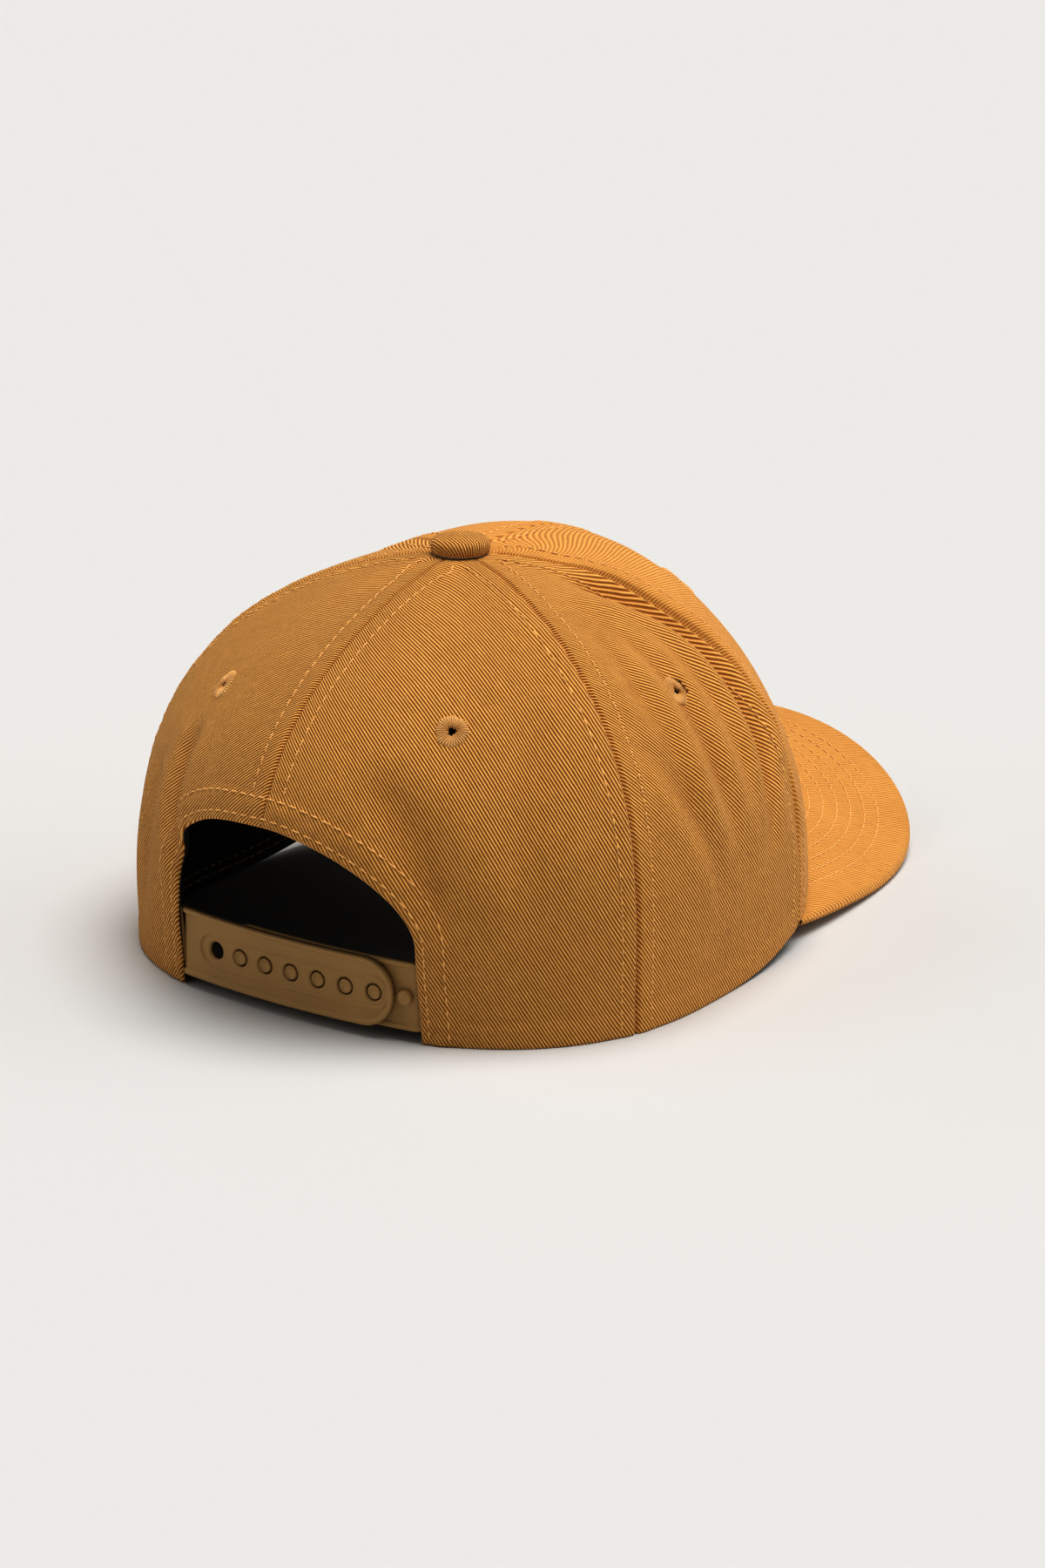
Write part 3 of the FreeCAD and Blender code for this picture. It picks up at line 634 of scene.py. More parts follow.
class Finish:
    """Node tree of one material round its Principled shader."""

    def __init__(self, name, rgb, roughness, **constants):
        self.material = bpy.data.materials.new(name)
        self.material.use_nodes = True
        self.tree = self.material.node_tree
        self.shader = self.tree.nodes["Principled BSDF"]
        self.set(**{"Base Color": (*rgb, 1), "Roughness": roughness, **constants})

    def set(self, **values):
        """Feeds the Principled shader's sockets; an underscore stands for a space."""
        for name, value in values.items():
            self.feed(self.shader.inputs[name.replace("_", " ")], value)

    def feed(self, socket, value):
        """Links a reading or a socket, or sets a plain value."""
        if isinstance(value, Reading):
            self.tree.links.new(value.socket, socket)
        elif isinstance(value, bpy.types.NodeSocket):
            self.tree.links.new(value, socket)
        else:
            socket.default_value = value

    def node(self, kind, options=None, inputs=None):
        """Adds a node: its options are set first, then its sockets by name or number."""
        node = self.tree.nodes.new(kind)
        for name, value in (options or {}).items():
            setattr(node, name, value)
        for key, value in (inputs or {}).items():
            self.feed(node.inputs[key], value)
        return node

    def parts(self, vector):
        """Readings of a vector's three parts."""
        node = self.node("ShaderNodeSeparateXYZ", None, {0: vector})
        return [Reading(self, out) for out in node.outputs]

    def vector(self, *values):
        """Vector socket from three values."""
        return self.node("ShaderNodeCombineXYZ", None, dict(enumerate(values))).outputs[0]

    def object_place(self):
        """Place on the object, in metres."""
        return self.node("ShaderNodeTexCoord").outputs["Object"]

    def noise(self, vector, scale, detail=2.0, roughness=0.5):
        """Noise from 0 to 1 about a mean of 0.5."""
        node = self.node("ShaderNodeTexNoise", {"noise_dimensions": "3D"},
                         {"Vector": vector, "Scale": scale, "Detail": detail, "Roughness": roughness})
        return Reading(self, node.outputs["Fac"])

    def mark(self, name):
        """Value that put_mesh stored per point."""
        node = self.node("ShaderNodeAttribute", {"attribute_name": name})
        return Reading(self, node.outputs["Fac"])

    def mix(self, factor, first, second, blend="MIX"):
        """Colour between two colours, or their product with the blend MULTIPLY."""
        node = self.node("ShaderNodeMix", {"data_type": "RGBA", "blend_type": blend},
                         {0: factor, 6: first, 7: second})
        return node.outputs[2]

    def shade(self, colour_socket, factor):
        """Colour times a number."""
        grey = self.vector(factor, factor, factor)
        return self.mix(1.0, colour_socket, grey, "MULTIPLY")

    def bump(self, height, distance):
        """Tilts the shading by a height that reads as up to a distance in metres."""
        node = self.node("ShaderNodeBump", None, {"Height": height, "Distance": distance})
        self.set(Normal=node.outputs["Normal"])


def twill_finish(name, tilt, contrast=1.0):
    """Cotton twill: a sine of the distance across tilted lines makes the ridges, and a second sine
    along them, shifted from line to line, the floats, with painted shade in the gaps between the
    ridges and between the floats.  Slubs run along the ridges, and the cloth is slowly mottled;
    painted shade darkens it in the folds, and its wrong side is painted near black as the shade
    inside the crown."""
    look = settings("finish")
    pitch = mm(look.twill)
    finish = Finish(name, look.cloth, 0.88, Sheen_Weight=0.10, Sheen_Roughness=0.5,
                    Specular_IOR_Level=0.22)
    uv = finish.node("ShaderNodeUVMap", {"uv_map": "cloth"}).outputs[0]
    u, v, _ = finish.parts(uv)
    cos, sin = math.cos(math.radians(tilt)), math.sin(math.radians(tilt))
    along, across = u * cos + v * sin, v * cos - u * sin
    drift = finish.noise(finish.vector(along / 14, across / 5, 0.0), 1.0, 2.0)
    lines = (across + drift * 0.35) / pitch
    ridge = (lines * (2 * math.pi)).sin() * 0.5 + 0.5
    line_number = lines.floor()
    floats = ((along / 0.62 + line_number * 0.38) * (2 * math.pi)).sin() * 0.5 + 0.5
    slub = finish.noise(finish.vector(along / 4.5, across / 0.55, 1.0), 1.0, 2.0, 0.6)
    cloud = finish.noise(finish.vector(u / 22, v / 22, 2.0), 1.0, 3.0)
    fuzz = finish.noise(finish.vector(u / 0.35, v / 0.35, 3.0), 1.0, 1.0)
    # Painted shade in the gaps between the ridges and between the floats, deeper with more contrast.
    valley = (1 - ridge) ** 1.6
    weave = 0.46 - valley * 1.15 - (1 - floats) * ridge * 0.16 + (slub - 0.5) * 0.70
    # Painted shade darkens the cloth in the folds.
    share = (0.47 + 0.10 * contrast + weave * (1.10 * contrast) + (cloud - 0.5) * 0.16
             + (fuzz - 0.5) * 0.16 - finish.mark("painted_fold_shade") * 0.34).limited()
    face = finish.mix(share, (*look.gap, 1), (*look.cloth, 1))
    # The wrong side is painted near black as the shade inside the crown.
    shaded_wrong_side = finish.shade((*look.shaded_lining, 1), share + 0.4)
    finish.set(**{"Base Color": finish.mix(finish.mark("inside"), face, shaded_wrong_side)})
    height = ridge * 0.70 + floats * ridge * 0.22 + slub * 0.35 + fuzz * 0.12
    finish.bump(height * contrast, 0.0004)
    return finish.material


def thread_finish(name):
    """Twisted thread: fine slanting plies and a little sheen."""
    look = settings("finish")
    finish = Finish(name, look.thread, 0.62, Sheen_Weight=0.2, Specular_IOR_Level=0.4)
    place = finish.object_place()
    plies = finish.node("ShaderNodeTexWave", {"wave_type": "BANDS", "bands_direction": "DIAGONAL"},
                        {"Vector": place, "Scale": 900.0, "Distortion": 1.0})
    tone = 0.86 + Reading(finish, plies.outputs["Fac"]) * 0.2 + finish.noise(place, 300.0) * 0.12
    finish.set(**{"Base Color": finish.shade((*look.thread, 1), tone)})
    finish.bump(Reading(finish, plies.outputs["Fac"]), 0.00005)
    return finish.material


def satin_finish(name):
    """Embroidered thread lying side by side: fine streaks of light and dark along each strand, with
    painted shade in the hollows between the strands.
    """
    look = settings("finish")
    finish = Finish(name, look.thread, 0.55, Sheen_Weight=0.2, Specular_IOR_Level=0.4)
    uv = finish.node("ShaderNodeUVMap", {"uv_map": "cloth"}).outputs[0]
    u, v, _ = finish.parts(uv)
    streak = finish.noise(finish.vector(u * 3.0, v * 0.35, 0.0), 1.0, 2.0)
    # Painted shade: the hollows between the strands are darkened.
    tone = (0.66 + streak * 0.5) * (1 - finish.mark("deep") ** 1.5 * 0.6)
    finish.set(**{"Base Color": finish.shade((*look.thread, 1), tone)})
    finish.bump(streak, 0.00012)
    return finish.material


def shaded_lining_finish(name, roughness=0.9, pitch=0.9):
    """Lining cloth in near black, painted shade of the crown's inside: a fine square weave with fuzz.
    """
    look = settings("finish")
    finish = Finish(name, look.shaded_lining, roughness, Sheen_Weight=0.08)
    x, y, z = finish.parts(finish.object_place())
    scale = 2000 * math.pi / pitch
    weave = ((x + y) * scale).sin() * (z * scale).sin() * 0.5 + 0.5
    cloud = finish.noise(finish.object_place(), 260.0, 3.0)
    finish.set(**{"Base Color": finish.shade((*look.shaded_lining, 1), 0.7 + weave * 0.25 + cloud * 0.35)})
    finish.bump(weave + cloud, 0.00012)
    return finish.material


def plastic_finish(name):
    """Matt moulded plastic: fine spark-eroded grain and faint flow clouds."""
    look = settings("finish")
    finish = Finish(name, look.strap, 0.5, Specular_IOR_Level=0.35)
    place = finish.object_place()
    grain, cloud = finish.noise(place, 2600.0, 2.0), finish.noise(place, 70.0, 2.0)
    tone = 0.90 + grain * 0.12 + (cloud - 0.5) * 0.16
    finish.set(**{"Base Color": finish.shade((*look.strap, 1), tone), "Roughness": 0.42 + cloud * 0.2})
    finish.bump(grain, 0.00003)
    return finish.material


def board_finish(name, rgb, scale, roughness=0.6, metallic=0.0):
    """Plain hidden stuff, such as board or steel, with a fine mottled grain."""
    finish = Finish(name, rgb, roughness, Metallic=metallic)
    grain = finish.noise(finish.object_place(), scale, 3.0)
    finish.set(**{"Base Color": finish.shade((*rgb, 1), 0.8 + grain * 0.4)})
    finish.bump(grain, 0.00005)
    return finish.material


def floor_finish(name):
    """Plain matt table top."""
    look = settings("finish")
    finish = Finish(name, look.floor, 0.9, Specular_IOR_Level=0.0)
    return finish.material


MATERIALS = {}


def material(kind, *details):
    """A finish made once and shared by the pieces that name it."""
    key = (kind.__name__, *details)
    if key not in MATERIALS:
        MATERIALS[key] = kind(*details)
    return MATERIALS[key]


def finished(piece, finish, body="crown", replaces=()):
    """Gives a piece its material, slot and body, and hides the plain CAD pieces it stands for."""
    piece.data.materials.append(finish)
    if body:
        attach(piece, body)
    if replaces:
        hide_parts(*replaces)
    return piece


CROWNS = []


def crown():
    """The crown's surface, worked out once."""
    if not CROWNS:
        CROWNS.append(Crown(settings("crown")))
    return CROWNS[0]


# ---------------------------------------------------------------- operators

# Each panel's seams, the eyelet's distance up, the tilt of its twill right and left, and how
# strongly its ridges show, in relief and in the painted shade of the twill's gaps, which is
# strongest on the panels where the light grazes.
PANELS = {"front": (0, 1, 80.0, (55, -55), 0.40), "side": (1, 2, 86.0, (54, -50), 0.95),
          "back": (2, 3, 84.5, (57, -48), 1.25)}
SIDES = (("right", 1), ("left", -1))
APEX_HOLE, EYELET_CUT = 2.2, 3.0  # radii of the holes under the button and the eyelets, mm
EDGE_ROWS = np.array([0, 0.25, 0.6, 1.1, 1.8, 2.6])  # crowded where the cloth's edge is rounded
PANEL_ROWS, ROWS_TO_KNEE, ROWS_OVER_ARCH, COLUMNS_OVER_ARCH = 150, 43, 111, 48
ABOUT_RADIUS, SEAM_STRETCH = 80, 3  # typical radius of the crown and the fine stretch at a seam, mm
# Depth of the deepest fold in mm, where the painted shade of a fold is fullest.
DEEPEST_FOLD = 3.7


def panel_spots(cap, zone, side):
    """Angle and distance grids of a panel and the cells it keeps; rows run from base edge to top."""
    first, last = PANELS[zone][:2]
    low, high = cap.seams[first], cap.seams[last]
    if zone == "back":
        angle, distance, cells = back_panel_spots(cap, low, high, cap.arches[side])
        return side * angle, distance, cells
    across = clustered(SEAM_STRETCH / ((high - low) * ABOUT_RADIUS), 9, 74)
    angle = np.repeat((low + (high - low) * across)[:, None], PANEL_ROWS + len(EDGE_ROWS), 1)
    top = cap.reach(angle[:, :1]) - APEX_HOLE
    share = np.linspace(0, 1, PANEL_ROWS + 1)[1:]
    distance = np.concatenate([np.repeat(EDGE_ROWS[None], len(across), 0),
                               EDGE_ROWS[-1] + (top - EDGE_ROWS[-1]) * share], 1)
    return side * angle, distance, np.ones((angle.shape[0] - 1, angle.shape[1] - 1), bool)


def back_panel_spots(cap, low, high, arch):
    """As panel_spots, with the opening left out: rows below the knee of the arch end at its side,
    and columns past the knee start on its curve."""
    arch_angle, arch_distance = arch
    knee = len(arch_angle) // 2
    knee_angle, knee_distance = arch_angle[knee], arch_distance[knee]
    left = np.concatenate([clustered(0.09, 9, 36)[:-6], 1 - EDGE_ROWS[::-1] / 32])
    left = np.unique(np.round(left, 5))
    right = np.linspace(0, 1, COLUMNS_OVER_ARCH + 1)[1:]
    below = np.concatenate([EDGE_ROWS, np.linspace(EDGE_ROWS[-1], knee_distance, ROWS_TO_KNEE + 1)[1:]])
    above = EDGE_ROWS[1:]
    full = np.linspace(0, 1, ROWS_OVER_ARCH + 1)[1:]
    columns, knee_row = len(left), len(below)
    angle = np.zeros((columns + len(right), knee_row + len(above) + len(full)))
    distance = np.zeros_like(angle)
    side_angle = np.interp(below, arch_distance[:knee + 1], arch_angle[:knee + 1])
    angle[:columns, :knee_row] = low + (side_angle - low)[None] * left[:, None]
    distance[:columns, :knee_row] = below[None]
    flat = np.append(low + (knee_angle - low) * left, knee_angle + (high - knee_angle) * right)
    start = np.append(np.full(columns, knee_distance),
                      np.interp(flat[columns:], arch_angle[knee:], arch_distance[knee:]))
    angle[:, knee_row:] = flat[:, None]
    top = cap.reach(flat) - APEX_HOLE
    distance[:, knee_row:knee_row + len(above)] = start[:, None] + above[None]
    after = start + above[-1]
    distance[:, knee_row + len(above):] = after[:, None] + (top - after)[:, None] * full[None]
    angle[columns:, knee_row - 1] = flat[columns:]
    distance[columns:, knee_row - 1] = start[columns:]
    cells = np.ones((angle.shape[0] - 1, angle.shape[1] - 1), bool)
    cells[columns - 1:, :knee_row - 1] = False
    angle[columns:, :knee_row - 1] = knee_angle
    return angle, distance, cells


def build_panel(cap, zone, name, side):
    """Closed shell whose edges are rounded by a square root, folded double round the opening."""
    first, last, eyelet, tilts, contrast = PANELS[zone]
    angle, distance, cells = panel_spots(cap, zone, side)
    plain = cap.point(angle, distance)
    height = cap.relief(angle, distance)
    thick = np.full(angle.shape, mm(cap.sizes.panel))
    edge = distance.copy()
    if zone == "back":
        arch = path_distance_near(plain * [side, 1, 1], cap.arch_paths[side], 14)[0]
        thick += (mm(cap.sizes.hem) - mm(cap.sizes.panel)) * (1 - smooth(8.6, 9.4, arch))
        edge = np.minimum(edge, arch)
    rounding = np.sqrt(1 - (1 - np.clip(edge / 0.9, 0.03, 1)) ** 2)
    middle = height - thick / 2
    outer = cap.point(angle, distance, middle + thick / 2 * rounding)
    inner = cap.point(angle, distance, middle - thick / 2 * rounding)
    centre = side * (cap.seams[first] + cap.seams[last]) / 2
    hub = cap.point(centre, eyelet)
    middles = (plain[:-1, :-1] + plain[1:, 1:]) / 2
    cells = cells & (np.linalg.norm(middles - hub, axis=-1) > EYELET_CUT)
    points, faces = shell(outer, inner, cells)
    u = (angle - centre) * cap.radius(plain)
    uv = np.stack([u, distance], -1).reshape(-1, 2)
    # Inner faces are marked for the wrong side's near-black painted shade.
    inside = np.repeat([0.0, 1.0], angle.size)
    # Painted shade in the folds: each fold's depth, as a share of the deepest, darkens the cloth.
    painted_fold_shade = np.clip(cap.folded(plain) / DEEPEST_FOLD, 0, 1).ravel()
    marks = {"inside": inside, "painted_fold_shade": np.concatenate([painted_fold_shade, painted_fold_shade])}
    piece = put_mesh(f"panel_{zone}_{name}", points, faces, np.concatenate([uv, uv]), marks)
    tilt = tilts[0] if side > 0 else tilts[1]
    finish = material(twill_finish, f"twill {zone} {name}", tilt, contrast)
    return finished(piece, finish, replaces=[f"panel_{zone}_{name}"])


class CAP_OT_panels(bpy.types.Operator):
    """Build the six crown panels as closed cloth shells"""
    bl_idname = "cap.panels"
    bl_label = "Crown panels"

    def execute(self, context):
        for zone in PANELS:
            for name, side in SIDES:
                build_panel(crown(), zone, name, side)
        return {"FINISHED"}


def crown_sheet(name, angle, distance, outer, inner, finish, nodes, cells=None):
    """Closed layer of cloth between two depths under the sewn cloth."""
    cap = crown()
    height = cap.relief(angle, distance)
    points, faces = shell(cap.point(angle, distance, height - outer),
                          cap.point(angle, distance, height - inner), cells)
    u = angle * cap.radius(cap.point(angle, distance))
    uv = np.stack([u, np.broadcast_to(distance, angle.shape)], -1).reshape(-1, 2)
    piece = put_mesh(name, points, faces, np.concatenate([uv, uv]))
    return finished(piece, finish, replaces=nodes)


def row_on_crown(cap, angle, distance):
    """Polyline and normals of a stitch row on the sewn cloth."""
    height = cap.relief(angle, distance)
    return cap.point(angle, distance, height), cap.normal(angle, distance)


LOWEST_STITCH, BUTTON_CLEARANCE, ROW_STEP = 1.5, 1.5, 0.6
NARROWEST_ROW = math.radians(26)  # limit of a row's angle where the seams meet


def seam_rows(cap, seam, sides, low=LOWEST_STITCH):
    """Rows beside one seam, at the same distance all the way up, stopping at the button."""
    trim = settings("trim")
    distance = np.arange(low, cap.reach(seam) - mm(trim.button) - BUTTON_CLEARANCE, ROW_STEP)
    rows = []
    for way in sides:
        angle = np.full_like(distance, seam)
        for _ in range(4):
            radius = cap.radius(cap.point(angle, distance))
            angle = seam + way * np.minimum(mm(trim.seam_row) / radius, NARROWEST_ROW)
        share = distance / cap.reach(seam)
        rows.append((angle, share * cap.reach(angle)))
    return rows


class CAP_OT_stitching(bpy.types.Operator):
    """Sew the rows beside the seams and round the closure's opening"""
    bl_idname = "cap.stitching"
    bl_label = "Stitching"

    def execute(self, context):
        cap, trim = crown(), settings("trim")
        sizes = mm(trim.thread), mm(trim.stitch), mm(trim.stitch_pitch)
        over = float(cap.level(np.array([math.pi]), mm(cap.sizes.arch_top))[0]) + 8.5
        rows = {"front": [], "side": [], "back": []}
        rows["front"] += seam_rows(cap, 0.0, (1, -1))
        for way in (1, -1):
            rows["front"] += seam_rows(cap, way * cap.seams[1], (-way,))
            rows["side"] += seam_rows(cap, way * cap.seams[1], (way,))
            rows["side"] += seam_rows(cap, way * cap.seams[2], (-way,))
            rows["back"] += seam_rows(cap, way * cap.seams[2], (way,))
        rows["back"] += seam_rows(cap, math.pi, (-1,), over)
        rows["back"] += [(-a, d) for a, d in seam_rows(cap, math.pi, (-1,), over)]
        for name, spots in rows.items():
            runs = [stitches(*row_on_crown(cap, *row), *sizes) for row in spots]
            if name == "back":
                runs += [stitches(*arch_row(cap, offset), *sizes) for offset in ARCH_ROWS]
            piece = put_mesh(f"stitching_{name}", *join([r for r in runs if r]))
            finished(piece, material(thread_finish, "thread"))
        return {"FINISHED"}


def arch_row(cap, offset):
    """Stitch row round the opening."""
    return row_on_crown(cap, *arch_spots(cap, offset))


def running_mean(values, width=7):
    """Mean of each value and its neighbours, with the end values repeated."""
    return np.convolve(np.pad(values, width // 2, mode="edge"), np.ones(width) / width, "valid")


def arch_spots(cap, offset):
    """Places at an even distance outside the opening's edge, from base edge to base edge: the
    edge's points are moved out along the surface, square to the edge."""
    (angle, distance), (left_angle, left_distance) = cap.arches[1], cap.arches[-1]
    angle = np.append(angle, 2 * math.pi - left_angle[-2::-1])
    distance = np.append(distance, left_distance[-2::-1])
    radius = np.append(cap.radius(cap.arch_paths[1]), cap.radius(cap.arch_paths[-1])[-2::-1])
    step_a, step_d = np.gradient(angle) * radius, np.gradient(distance)
    size = np.hypot(step_a, step_d)
    out_a, out_d = -step_d / size, step_a / size
    out_a, out_d = running_mean(out_a), running_mean(out_d)
    size = np.hypot(out_a, out_d)
    row_angle = angle + offset * out_a / size / radius
    row_distance = distance + offset * out_d / size
    keep = row_distance > 0.8
    return row_angle[keep], row_distance[keep]


EYELET_THREADS, EYELET_AROUND, EYELET_SECTION = 34, 306, 20


class CAP_OT_eyelets(bpy.types.Operator):
    """Embroider the six eyelets"""
    bl_idname = "cap.eyelets"
    bl_label = "Eyelets"

    def execute(self, context):
        for zone in PANELS:
            for name, side in SIDES:
                build_eyelet(crown(), zone, name, side)
        return {"FINISHED"}


def build_eyelet(cap, zone, name, side):
    """Ring of wound thread: a tube whose section swells with |sin|^0.7 of the way round, once for
    each strand, and wanders a little in and out."""
    trim = settings("trim")
    outer, hole = mm(trim.eyelet), mm(trim.eyelet_hole)
    first, last, distance = PANELS[zone][:3]
    centre = side * (cap.seams[first] + cap.seams[last]) / 2
    radius = cap.radius(cap.point(centre, distance))
    way = np.linspace(0, 2 * math.pi, EYELET_AROUND, endpoint=False)[:, None]
    turn_by = np.linspace(0, 2 * math.pi, EYELET_SECTION, endpoint=False)[None]
    strand = abs(np.sin(way * EYELET_THREADS / 2)) ** 0.7
    uneven = 1 + 0.06 * np.sin(way * 3 + first * 2 + side) + 0.05 * np.sin(way * 8 + side)
    half = (outer - hole) / 2
    reach = (outer + hole) / 2 * uneven + half * np.cos(turn_by) * (0.80 + 0.24 * strand)
    above_or_below = np.where(np.sin(turn_by) > 0, 0.78, 1.35)
    lift = above_or_below * np.sin(turn_by) * (0.55 + 0.50 * strand)
    ground = cap.relief(np.full((1, 1), centre), np.full((1, 1), distance))[0, 0]
    grid = cap.point(centre + reach * np.cos(way) / radius, distance + reach * np.sin(way),
                     ground - 0.1 + lift)
    points, faces = tube_loop(grid)
    u = np.broadcast_to(way * outer, grid.shape[:2])
    v = np.broadcast_to(turn_by * half, grid.shape[:2])
    uv = np.stack([u, v], -1).reshape(-1, 2)
    # The hollows between the strands, marked for painted shade.
    deep = np.broadcast_to(1 - strand, grid.shape[:2]).ravel()
    piece = put_mesh(f"eyelet_{zone}_{name}", points, faces, uv, {"deep": deep})
    finished(piece, material(satin_finish, "embroidery thread"),
             replaces=[f"eyelet_{zone}_{name}"])


BUTTON_RIM, BUTTON_RISE = 2.0, 1.4  # radius of the button's rounded rim and height of its dome, mm


class CAP_OT_button(bpy.types.Operator):
    """Cover the button with cloth"""
    bl_idname = "cap.button"
    bl_label = "Button"

    def execute(self, context):
        cap, trim = crown(), settings("trim")
        radius, height = mm(trim.button), mm(trim.button_height)
        turn_by = np.linspace(0, 2 * math.pi, 96, endpoint=False)
        # Profile from the middle of the top, over the rounded rim and in under the edge.
        bend = np.linspace(0, math.pi / 2, 10)
        top = np.linspace(0.08, radius - BUTTON_RIM, 14)
        dome = BUTTON_RISE * (1 - (top / radius) ** 2)
        rim = radius - BUTTON_RIM + BUTTON_RIM * np.sin(bend[1:])
        r = np.concatenate([top, rim, [radius + 0.02, radius - 0.3, radius - 1.2, 0.6]])
        edge_z = height - BUTTON_RISE + dome[-1] - BUTTON_RIM
        z = np.concatenate([height - BUTTON_RISE + dome, edge_z + BUTTON_RIM * np.cos(bend[1:]),
                            [edge_z - 1.1, edge_z - 1.9, edge_z - 2.2, edge_z - 2.2]])
        waves = np.sin(turn_by * 17 + np.sin(turn_by * 3))
        wide = r[:, None] + smooth(radius - 2.5, radius, r)[:, None] * waves * 0.06
        level = np.broadcast_to(z[:, None], wide.shape)
        rings = np.stack([wide * np.cos(turn_by), wide * np.sin(turn_by), level], -1)
        run = np.append(0, np.cumsum(np.hypot(np.diff(r), np.diff(z))))[:, None]
        flat = np.stack([run * np.cos(turn_by), run * np.sin(turn_by)], -1).reshape(-1, 2)
        points, faces = turned(rings, (0, 0, z[0]), (0, 0, z[-1]))
        points = points + [0, cap.axis_y + cap.shift, cap.height]
        uv = np.concatenate([flat, [[0, 0], [0, 0]]])
        piece = put_mesh("button", points, faces, uv, {"inside": np.zeros(len(points))})
        finish = material(twill_finish, "twill button", -28, 1.3)
        finished(piece, finish, replaces=["button_cover"])
        return {"FINISHED"}


class Visor:
    """The visor's upper surface: straight lines run from under the crown's base edge to a
    superellipse edge, arched by a parabola and sloping down ahead."""

    def __init__(self, cap, sizes):
        self.cap, self.sizes = cap, sizes
        self.corner = sizes.corner
        corner = cap.point(self.corner, 0.0)
        half = abs(corner[0]) + mm(sizes.corner_margin)
        ahead_of = cap.ends[0] + mm(sizes.projection) + corner[1] - cap.axis_y
        turned_by = np.linspace(-math.pi / 2, math.pi / 2, 1441)
        across = abs(np.sin(turned_by) / half) ** VISOR_SQUARENESS
        along = abs(np.cos(turned_by) / ahead_of) ** VISOR_SQUARENESS
        radius = (across + along) ** (-1 / VISOR_SQUARENESS)
        x, ahead = -radius * np.sin(turned_by), radius * np.cos(turned_by)
        z = -mm(sizes.drop) * (x / half) ** 2 + sizes.slope * (ahead_of - ahead)
        pull = abs(np.sin(turned_by)) ** VISOR_CORNER_POWER
        lift = 0.0
        for _ in range(8):
            drawn = z + lift + (corner[2] - z[-1] - lift) * pull
            lift += mm(sizes.thickness) - drawn.min()
        self.edge = np.stack([x, corner[1] - ahead, drawn], -1)

    def point(self, across, out):
        """Point at a share across, from -1 to 1, and a share out, from 0 to 1."""
        inner = self.cap.point(across * self.corner, 0.0, -VISOR_TUCK)
        place = (across + 1) / 2 * (len(self.edge) - 1)
        k = np.clip(place.astype(int), 0, len(self.edge) - 2)
        t = (place - k)[..., None]
        rim = self.edge[k] * (1 - t) + self.edge[k + 1] * t
        return inner + (rim - inner) * out[..., None]

    def span(self, across):
        """Length of the visor's straight lines."""
        one = np.ones_like(across)
        return np.linalg.norm(self.point(across, one) - self.point(across, 0 * one), axis=-1)


def visor_relief(sizes, margin):
    """Channels sunk at the stitch rows with the cloth standing soft between them."""
    first, pitch = mm(sizes.first_row), mm(sizes.row_pitch)
    rows = (margin - first) / pitch
    inside = smooth(-0.5, 0.2, rows) * (1 - smooth(sizes.rows - 0.8, sizes.rows - 0.2, rows))
    return inside * (0.16 * np.cos(rows * 2 * math.pi + math.pi) - 0.06)


VISOR_COLUMNS, VISOR_ROWS, COLUMN_CROWDING = 181, 120, 0.86
VISOR_RIM_ROWS = np.array([0, 0.04, 0.12, 0.25, 0.45, 0.7, 1.0, 1.35, 1.7, 2.2])
VISOR_CLOTH, VISOR_CORE = 0.62, 0.02  # thickness of a cloth and least distance from the middle, mm
SUNK_THREAD = 0.20


def lowered(points, depth):
    """Points moved straight down."""
    return points - depth[..., None] * np.array([0, 0, 1])


def build_visor_cloths(visor, sizes):
    """Upper and lower cloth, whose outer faces meet in a half round at the rim."""
    thick = mm(sizes.thickness)
    crowded = np.linspace(-1, 1, VISOR_COLUMNS) * math.pi / 2 * COLUMN_CROWDING
    across = np.sin(crowded) / math.sin(math.pi / 2 * COLUMN_CROWDING)
    inward = 1 - np.linspace(0, 1, VISOR_ROWS)[::-1]
    rim = VISOR_RIM_ROWS
    span = visor.span(across)[:, None]
    margin = np.concatenate([np.repeat(rim[None], len(across), 0),
                             rim[-1] + (span - rim[-1]) * inward[None, 1:]], 1)
    out = 1 - margin / span
    plain = visor.point(np.repeat(across[:, None], out.shape[1], 1), out)
    round_by = thick / 2 * np.sqrt(1 - (1 - np.clip(margin / (thick / 2), 0, 1)) ** 2)
    swell = visor_relief(sizes, margin)
    slack = 0.10 * ripple(plain, (34, 23), 9) * smooth(0, 12, margin)
    middle = np.full_like(margin, thick / 2)
    top = lowered(plain, middle - round_by - swell - slack)
    bottom = lowered(plain, middle + round_by + swell * 0.8)
    top_under = lowered(plain, np.minimum(middle - VISOR_CORE, middle - round_by + VISOR_CLOTH))
    bottom_over = lowered(plain, np.maximum(middle + VISOR_CORE, middle + round_by - VISOR_CLOTH))
    uv = np.stack([plain[..., 0], plain[..., 1]], -1).reshape(-1, 2)
    cloths = (("visor_top", top, top_under, "twill visor", 62, ["visor_top_cloth", "visor_edge_fold"]),
              ("visor_bottom", bottom, bottom_over, "twill visor under", -62, ["visor_bottom_cloth"]))
    for name, outer, inner, finish, tilt, nodes in cloths:
        points, faces = shell(outer, inner)
        marks = {"inside": np.zeros(2 * margin.size)}
        piece = put_mesh(name, points, faces, np.concatenate([uv, uv]), marks)
        finished(piece, material(twill_finish, finish, tilt, 0.5), replaces=nodes)


